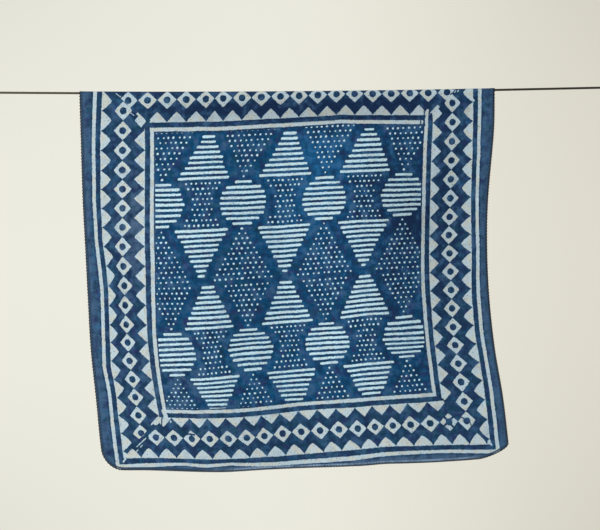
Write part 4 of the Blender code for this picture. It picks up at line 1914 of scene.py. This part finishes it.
@dataclass(frozen=True)
class TautLine:
    """The braided line, looped back at each end through its ferrule."""

    drape: Drape
    diameter: float = 3.0
    length: float = 992.7
    ferrule_length: float = 12.0
    tail_length: float = 5.0
    tail_drop: float = 3.3
    leg_length: float = 16.0
    loop_radius: float = 6.0
    sides: int = 14
    leg_steps: int = 6
    bend_steps: int = 12
    span_steps: int = 28
    finer: int = 3
    cap_steps: int = 3
    cap_share: float = 0.45
    cap_left_flat: float = 0.4

    @property
    def loop_centre(self) -> float:
        """X of the right loop's middle."""
        return self.drape.clear_half + self.ferrule_length + self.leg_length

    def loop_points(self) -> list[tuple[float, float]]:
        """The right-hand loop as (x, height): through the ferrule, round and back."""
        clear = self.drape.clear_half
        points = [(clear, 0.0), (clear + self.ferrule_length, 0.0)]
        for n in range(1, self.leg_steps + 1):
            u = n / self.leg_steps
            x = self.loop_centre + self.leg_length * (u - 1)
            points.append((x, self.loop_radius * ease(u)))
        for n in range(1, self.bend_steps):
            turn = math.pi * n / self.bend_steps
            x = self.loop_centre + self.loop_radius * math.sin(turn)
            points.append((x, self.loop_radius * math.cos(turn)))
        for n in range(self.leg_steps + 1):
            u = n / self.leg_steps
            rise = (self.loop_radius - self.tail_drop) * ease(u)
            points.append((self.loop_centre - self.leg_length * u, rise - self.loop_radius))
        points.append((clear, -self.tail_drop))
        points.append((clear - self.tail_length, -self.tail_drop))
        return points

    def route(self) -> list[tuple[float, float]]:
        """The whole line from its left tail to its right tail, as (x, height)."""
        right = self.loop_points()
        left = [(-x, z) for x, z in reversed(right)]
        reach = self.drape.clear_half * (1 - 1 / self.span_steps)
        span = [reach * (2 * n / self.span_steps - 1) for n in range(self.span_steps + 1)]
        return left + [(x, self.drape.line_height(x)) for x in span] + right

    def build(self) -> bpy.types.Object:
        """Build the line as a tube with rounded, heat-sealed ends.

        Returns:
            The line.
        """
        route = self.route()
        knots = [(float(n), x, z) for n, (x, z) in enumerate(route)]
        places = [n / self.finer for n in range((len(route) - 1) * self.finer + 1)]
        fine = [(smooth_curve(knots, 1, at), smooth_curve(knots, 2, at)) for at in places]
        tube = self.tube(fine)
        finish_piece(tube, BraidedCord().material())
        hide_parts("line")
        y = -self.drape.line_from_wall
        path = [(x * MM, y * MM, z * MM) for x, z in fine]
        return tube

    def tube(self, route: Sequence[tuple[float, float]]) -> bpy.types.Object:
        """A round tube on a route in the line's upright plane.

        Args:
            route: Its middle, as (x, height).

        Returns:
            The tube, with its length and its turn in the UV map "cord".
        """
        radius = self.diameter / 2
        rings: list[tuple[Vector, Vector, float, float]] = []
        run = 0.0
        for n, (x, z) in enumerate(route):
            before = Vector(route[max(n - 1, 0)])
            after = Vector(route[min(n + 1, len(route) - 1)])
            heading = (after - before).normalized()
            if n:
                run += math.dist(route[n - 1], (x, z))
            rings.append((Vector((x, z)), heading, radius, run))
        caps = []
        for n in range(1, self.cap_steps + 1):
            turn = math.pi / 2 * n / (self.cap_steps + self.cap_left_flat)
            caps.append((self.cap_share * radius * math.sin(turn), radius * math.cos(turn)))
        first = [
            (rings[0][0] - rings[0][1] * out, rings[0][1], small, -out)
            for out, small in reversed(caps)
        ]
        last = [
            (rings[-1][0] + rings[-1][1] * out, rings[-1][1], small, run + out)
            for out, small in caps
        ]
        rings = first + rings + last

        points: list[Point] = []
        for middle, heading, size, _ in rings:
            for m in range(self.sides):
                turn = 2 * math.pi * m / self.sides
                up = size * math.cos(turn)
                back = size * math.sin(turn) - self.drape.line_from_wall
                points.append((middle.x - heading.y * up, back, middle.y + heading.x * up))
        faces: list[tuple[int, ...]] = []
        corners: list[tuple[float, float]] = []
        for n in range(len(rings) - 1):
            for m in range(self.sides):
                a = n * self.sides + m
                b = n * self.sides + (m + 1) % self.sides
                faces.append((a, a + self.sides, b + self.sides, b))
                low = rings[n][3] * MM
                high = rings[n + 1][3] * MM
                this = m / self.sides
                following = (m + 1) / self.sides
                corners.extend(((low, this), (high, this), (high, following), (low, following)))
        end = (len(rings) - 1) * self.sides
        faces.append(tuple(range(self.sides)))
        faces.append(tuple(end + m for m in reversed(range(self.sides))))
        corners.extend([(0.0, 0.0)] * (2 * self.sides))
        tube = mesh_piece("braided_line", points, faces)
        uv = tube.data.uv_layers.new(name="cord")
        for n, corner in enumerate(corners):
            uv.data[n].uv = corner
        return tube


@dataclass(frozen=True)
class Ferrule:
    """A soft alloy sleeve, pressed in three bands over the line and its tail."""

    line: TautLine
    side: Side
    gap: float = 0.3
    wall: float = 1.0
    pressed: float = 0.9
    pressed_deep: float = 0.94
    bands: tuple[float, ...] = (-0.28, 0.0, 0.28)
    band_half: float = 0.9
    rounding: float = 0.22

    def build(self, look: bpy.types.Material) -> bpy.types.Object:
        """Model the sleeve from a short tube: cut, pressed, bored and rounded.

        Args:
            look: Its material.

        Returns:
            The sleeve, in its CAD node's place.
        """
        drape = self.line.drape
        long = self.line.ferrule_length
        bore = self.line.diameter / 2 + self.gap
        outside = bore + self.wall
        middle_x = self.side.value * (drape.clear_half + long / 2)
        middle_z = -self.line.tail_drop / 2
        centre = Vector((middle_x, -drape.line_from_wall, middle_z)) * MM
        nothing_selected()
        bpy.ops.mesh.primitive_cylinder_add(
            vertices=32,
            radius=outside * MM,
            depth=long * MM,
            location=centre,
            rotation=(0.0, math.pi / 2, 0.0),
        )
        sleeve = name_piece(f"crimped_ferrule_{self.side.word}")
        bpy.ops.object.mode_set(mode="EDIT")
        self.part_halves(sleeve, centre)
        self.press(centre, sleeve, long)
        self.bore_through(sleeve)
        bpy.ops.object.mode_set(mode="OBJECT")
        round_edges(sleeve, self.rounding)
        shade_by_angle(sleeve)
        finish_piece(sleeve, look)
        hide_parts(f"ferrule_{self.side.word}")
        return sleeve

    def part_halves(self, sleeve: bpy.types.Object, centre: Vector) -> None:
        """Cut the round tube at mid height and part it into a long round section."""
        half_drop = self.line.tail_drop / 2 * MM
        slight = 0.02 * MM
        pick_verts(sleeve, lambda point: point.z > centre.z + slight)
        bpy.ops.transform.translate(value=(0.0, 0.0, half_drop))
        pick_verts(sleeve, lambda point: point.z < centre.z - slight)
        bpy.ops.transform.translate(value=(0.0, 0.0, -half_drop))

    def press(self, centre: Vector, sleeve: bpy.types.Object, long: float) -> None:
        """Cut rings round the sleeve and press three narrow bands in.

        Args:
            centre: The sleeve's middle.
            sleeve: The sleeve in edit mode.
            long: Its length.
        """
        bands = [long * share for share in self.bands]
        edges = [band + step for band in bands for step in (-self.band_half, 0.0, self.band_half)]
        for place in edges:
            bpy.ops.mesh.select_all(action="SELECT")
            bpy.ops.mesh.bisect(
                plane_co=(centre.x + place * MM, centre.y, centre.z),
                plane_no=(1.0, 0.0, 0.0),
            )
        close = 0.05 * MM
        for band in bands:
            pick_verts(sleeve, lambda point: abs(point.x - centre.x - band * MM) < close)
            bpy.ops.transform.resize(
                value=(1.0, self.pressed, self.pressed_deep),
                center_override=centre,
            )

    def bore_through(self, sleeve: bpy.types.Object) -> None:
        """Inset both ends and join the openings by a bore."""
        pick_faces(sleeve, lambda face: abs(face.normal.x) > 0.9 and len(face.verts) > 8)
        bpy.ops.mesh.inset(thickness=self.wall * MM, use_even_offset=True)
        bpy.ops.mesh.delete(type="ONLY_FACE")
        shape = bmesh.from_edit_mesh(sleeve.data)
        for edge in shape.edges:
            edge.select_set(edge.is_boundary)
        bmesh.update_edit_mesh(sleeve.data)
        bpy.ops.mesh.select_mode(type="EDGE")
        bpy.ops.mesh.bridge_edge_loops()
        bpy.ops.mesh.select_all(action="SELECT")
        bpy.ops.mesh.normals_make_consistent(inside=False)


@dataclass(frozen=True)
class WallEye:
    """A plated eye: round wall plate, collar, shank, and the ring that holds the loop."""

    line: TautLine
    side: Side
    plate_radius: float = 12.0
    plate_thick: float = 3.0
    collar_radius: float = 4.2
    collar_end: float = 6.0
    shank_radius: float = 2.2
    ring_radius: float = 5.2
    ring_bar: float = 1.6
    gap: float = 0.3
    neck_in_bar: float = 0.4
    rounding: float = 0.5

    @property
    def x(self) -> float:
        """X of the eye's middle."""
        bar = self.ring_bar + self.gap + self.line.diameter / 2
        reach = self.line.loop_centre + self.line.loop_radius - bar
        return self.side.value * (reach + self.ring_radius)

    def build(self, look: bpy.types.Material) -> bpy.types.Object:
        """Model the eye: extrude the plate outward step by step, then weld the ring on.

        Args:
            look: Its material.

        Returns:
            The eye, in its CAD node's place.
        """
        from_wall = self.line.drape.line_from_wall
        neck = self.ring_radius + self.neck_in_bar - from_wall
        nothing_selected()
        bpy.ops.mesh.primitive_circle_add(
            vertices=48,
            radius=self.plate_radius * MM,
            fill_type="NGON",
            location=(self.x * MM, 0.0, 0.0),
            rotation=(math.pi / 2, 0.0, 0.0),
        )
        eye = name_piece(f"plated_wall_eye_{self.side.word}")
        bpy.ops.object.mode_set(mode="EDIT")
        bpy.ops.mesh.select_all(action="SELECT")
        self.push(-self.plate_thick)
        self.draw_in(self.plate_radius - self.collar_radius)
        self.push(self.plate_thick - self.collar_end)
        self.draw_in(self.collar_radius - self.shank_radius)
        self.push(neck + self.collar_end)
        bpy.ops.mesh.select_all(action="SELECT")
        bpy.ops.mesh.normals_make_consistent(inside=False)
        bpy.ops.object.mode_set(mode="OBJECT")
        round_edges(eye, self.rounding, 3)
        self.weld(eye, self.ring(from_wall))
        shade_by_angle(eye, 32.0)
        finish_piece(eye, look)
        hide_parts(f"wall_eye_{self.side.word}")
        return eye

    def push(self, outward: float) -> None:
        """Extrude the picked face along Y."""
        bpy.ops.mesh.extrude_region_move(
            TRANSFORM_OT_translate={"value": (0.0, outward * MM, 0.0)}
        )

    def draw_in(self, by: float) -> None:
        """Inset the picked face."""
        bpy.ops.mesh.inset(thickness=by * MM, use_even_offset=True)

    def ring(self, from_wall: float) -> bpy.types.Object:
        """Spin a round bar into a ring that lies flat, in the line's level plane."""
        centre = Vector((self.x, -from_wall, 0.0)) * MM
        nothing_selected()
        bpy.ops.mesh.primitive_circle_add(
            vertices=16,
            radius=self.ring_bar * MM,
            location=centre + Vector((self.ring_radius * MM, 0.0, 0.0)),
            rotation=(math.pi / 2, 0.0, 0.0),
        )
        ring = name_piece(f"eye_ring_{self.side.word}")
        bpy.ops.object.mode_set(mode="EDIT")
        bpy.ops.mesh.select_all(action="SELECT")
        bpy.ops.mesh.spin(steps=48, angle=2 * math.pi, center=centre, axis=(0.0, 0.0, 1.0))
        bpy.ops.mesh.select_all(action="SELECT")
        bpy.ops.mesh.remove_doubles(threshold=0.00001)
        bpy.ops.mesh.normals_make_consistent(inside=False)
        bpy.ops.object.mode_set(mode="OBJECT")
        return ring

    def weld(self, eye: bpy.types.Object, ring: bpy.types.Object) -> None:
        """Join the ring to the shank as one body."""
        union = eye.modifiers.new("ring", "BOOLEAN")
        union.operation = "UNION"
        union.solver = "EXACT"
        union.object = ring
        apply_modifiers(eye)
        bpy.data.objects.remove(ring)


# The studio


@dataclass(frozen=True)
class Lamp:
    """A soft square lamp: its place and side in metres, its power in watts, its colour."""

    name: str
    place: Point
    size: float
    watts: float
    tint: Point

    def build(self, aimed_at: Vector) -> None:
        """Hang the lamp so that it faces a place."""
        data = bpy.data.lights.new(self.name, "AREA")
        data.size = self.size
        data.energy = self.watts
        data.color = self.tint
        lamp = bpy.data.objects.new(self.name, data)
        bpy.context.collection.objects.link(lamp)
        lamp.location = self.place
        aim = aimed_at - Vector(self.place)
        lamp.rotation_euler = aim.to_track_quat("-Z", "Y").to_euler()


LAMPS = (
    Lamp("window", (-2.2, -1.9, 0.6), 1.6, 64.0, (1.0, 0.98, 0.92)),
    Lamp("fill", (2.3, -2.2, -0.4), 1.8, 25.5, (0.86, 0.94, 1.0)),
    Lamp("behind", (-0.9, 2.2, 0.7), 1.6, 28.0, (1.0, 0.98, 0.95)),
)


@dataclass(frozen=True)
class Studio:
    """Camera at the photograph's angle, a pale floor and soft light from the left."""

    line_from_wall: float
    centre_z: float = -236.1
    view_width: float = 810.0
    distance: float = 1800.0
    roll: float = 0.0082
    sensor: float = 36.0
    floor_drop: float = 1250.0
    floor_size: float = 2.6
    floor_colour: Point = (0.72, 0.70, 0.62)
    floor_roughness: float = 0.85
    light_left: Point = (0.846, 0.837, 0.745)
    light_right: Point = (0.723, 0.699, 0.602)
    turns_from: float = -0.05
    turns_to: float = 0.28
    ambient: float = 0.465
    corner_dimming: float = 40.0
    edge_dimming: float = 0.5
    most_dimming: float = 0.1

    def camera(self) -> None:
        """Set the camera level with the photograph's middle, turned by its slight roll."""
        data = bpy.data.cameras.new("camera")
        data.sensor_width = self.sensor
        data.lens = self.sensor * self.distance / self.view_width
        camera = bpy.data.objects.new("camera", data)
        bpy.context.collection.objects.link(camera)
        right = Vector((math.cos(self.roll), 0.0, -math.sin(self.roll)))
        up = Vector((math.sin(self.roll), 0.0, math.cos(self.roll)))
        away = right.cross(up)
        place = Vector((0.0, -self.line_from_wall - self.distance, self.centre_z)) * MM
        camera.matrix_world = Matrix(
            (
                (right.x, up.x, away.x, place.x),
                (right.y, up.y, away.y, place.y),
                (right.z, up.z, away.z, place.z),
                (0.0, 0.0, 0.0, 1.0),
            )
        )
        bpy.context.scene.camera = camera

    def sky(self) -> None:
        """Pale surroundings, brighter at the left, that light the cloth only softly."""
        world = bpy.data.worlds.new("pale room")
        world.use_nodes = True
        sums = Sums(world.node_tree)
        heading = sums.nodes.new("ShaderNodeTexCoord")
        x, _, z = sums.parts(Term(sums, heading.outputs["Generated"]))
        share = sums.fade(x, self.turns_from, self.turns_to)
        colour = sums.mix(share, self.light_left, self.light_right)
        dimming = z * z * (x * x * self.corner_dimming + self.edge_dimming)
        seen = 1.0 - dimming.least(self.most_dimming)
        path = sums.nodes.new("ShaderNodeLightPath")
        by_camera = Term(sums, path.outputs["Is Camera Ray"])
        strength = by_camera * (seen - self.ambient) + self.ambient
        background = sums.nodes["Background"]
        sums.put(background.inputs["Color"], colour)
        sums.put(background.inputs["Strength"], strength)
        bpy.context.scene.world = world

    def floor(self) -> None:
        """A plain pale floor, well below the cloth."""
        nothing_selected()
        bpy.ops.mesh.primitive_grid_add(
            x_subdivisions=8,
            y_subdivisions=8,
            size=self.floor_size,
            location=(0.0, 0.0, -self.floor_drop * MM),
        )
        floor = name_piece("floor")
        graph = Graph("floor")
        graph.shader.inputs["Base Color"].default_value = (*self.floor_colour, 1.0)
        graph.shader.inputs["Roughness"].default_value = self.floor_roughness
        floor.data.materials.append(graph.material)

    def build(self) -> None:
        """Set everything up."""
        self.camera()
        self.sky()
        self.floor()
        for lamp in LAMPS:
            lamp.build(Vector((0.0, 0.0, self.centre_z * MM)))
        bpy.context.scene.view_settings.view_transform = "Standard"


def main() -> None:
    """Build every piece in order and report each one."""
    logging.basicConfig(level=logging.INFO, format="%(name)s: %(message)s")
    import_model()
    drape = Drape()
    Studio(drape.line_from_wall).build()

    line = TautLine(drape)
    line.build()
    cloth = HangingCloth(drape, PrintLayout())
    sheet = cloth.build()
    edge = OverlockedEdge(drape, cloth.thickness).build()
    drape.area
    crimp_look = CRIMPED_ALLOY.material()
    plating_look = PLATED_STEEL.material()
    for side in Side:
        Ferrule(line, side).build(crimp_look)
        WallEye(line, side).build(plating_look)


if __name__ == "__main__":
    main()
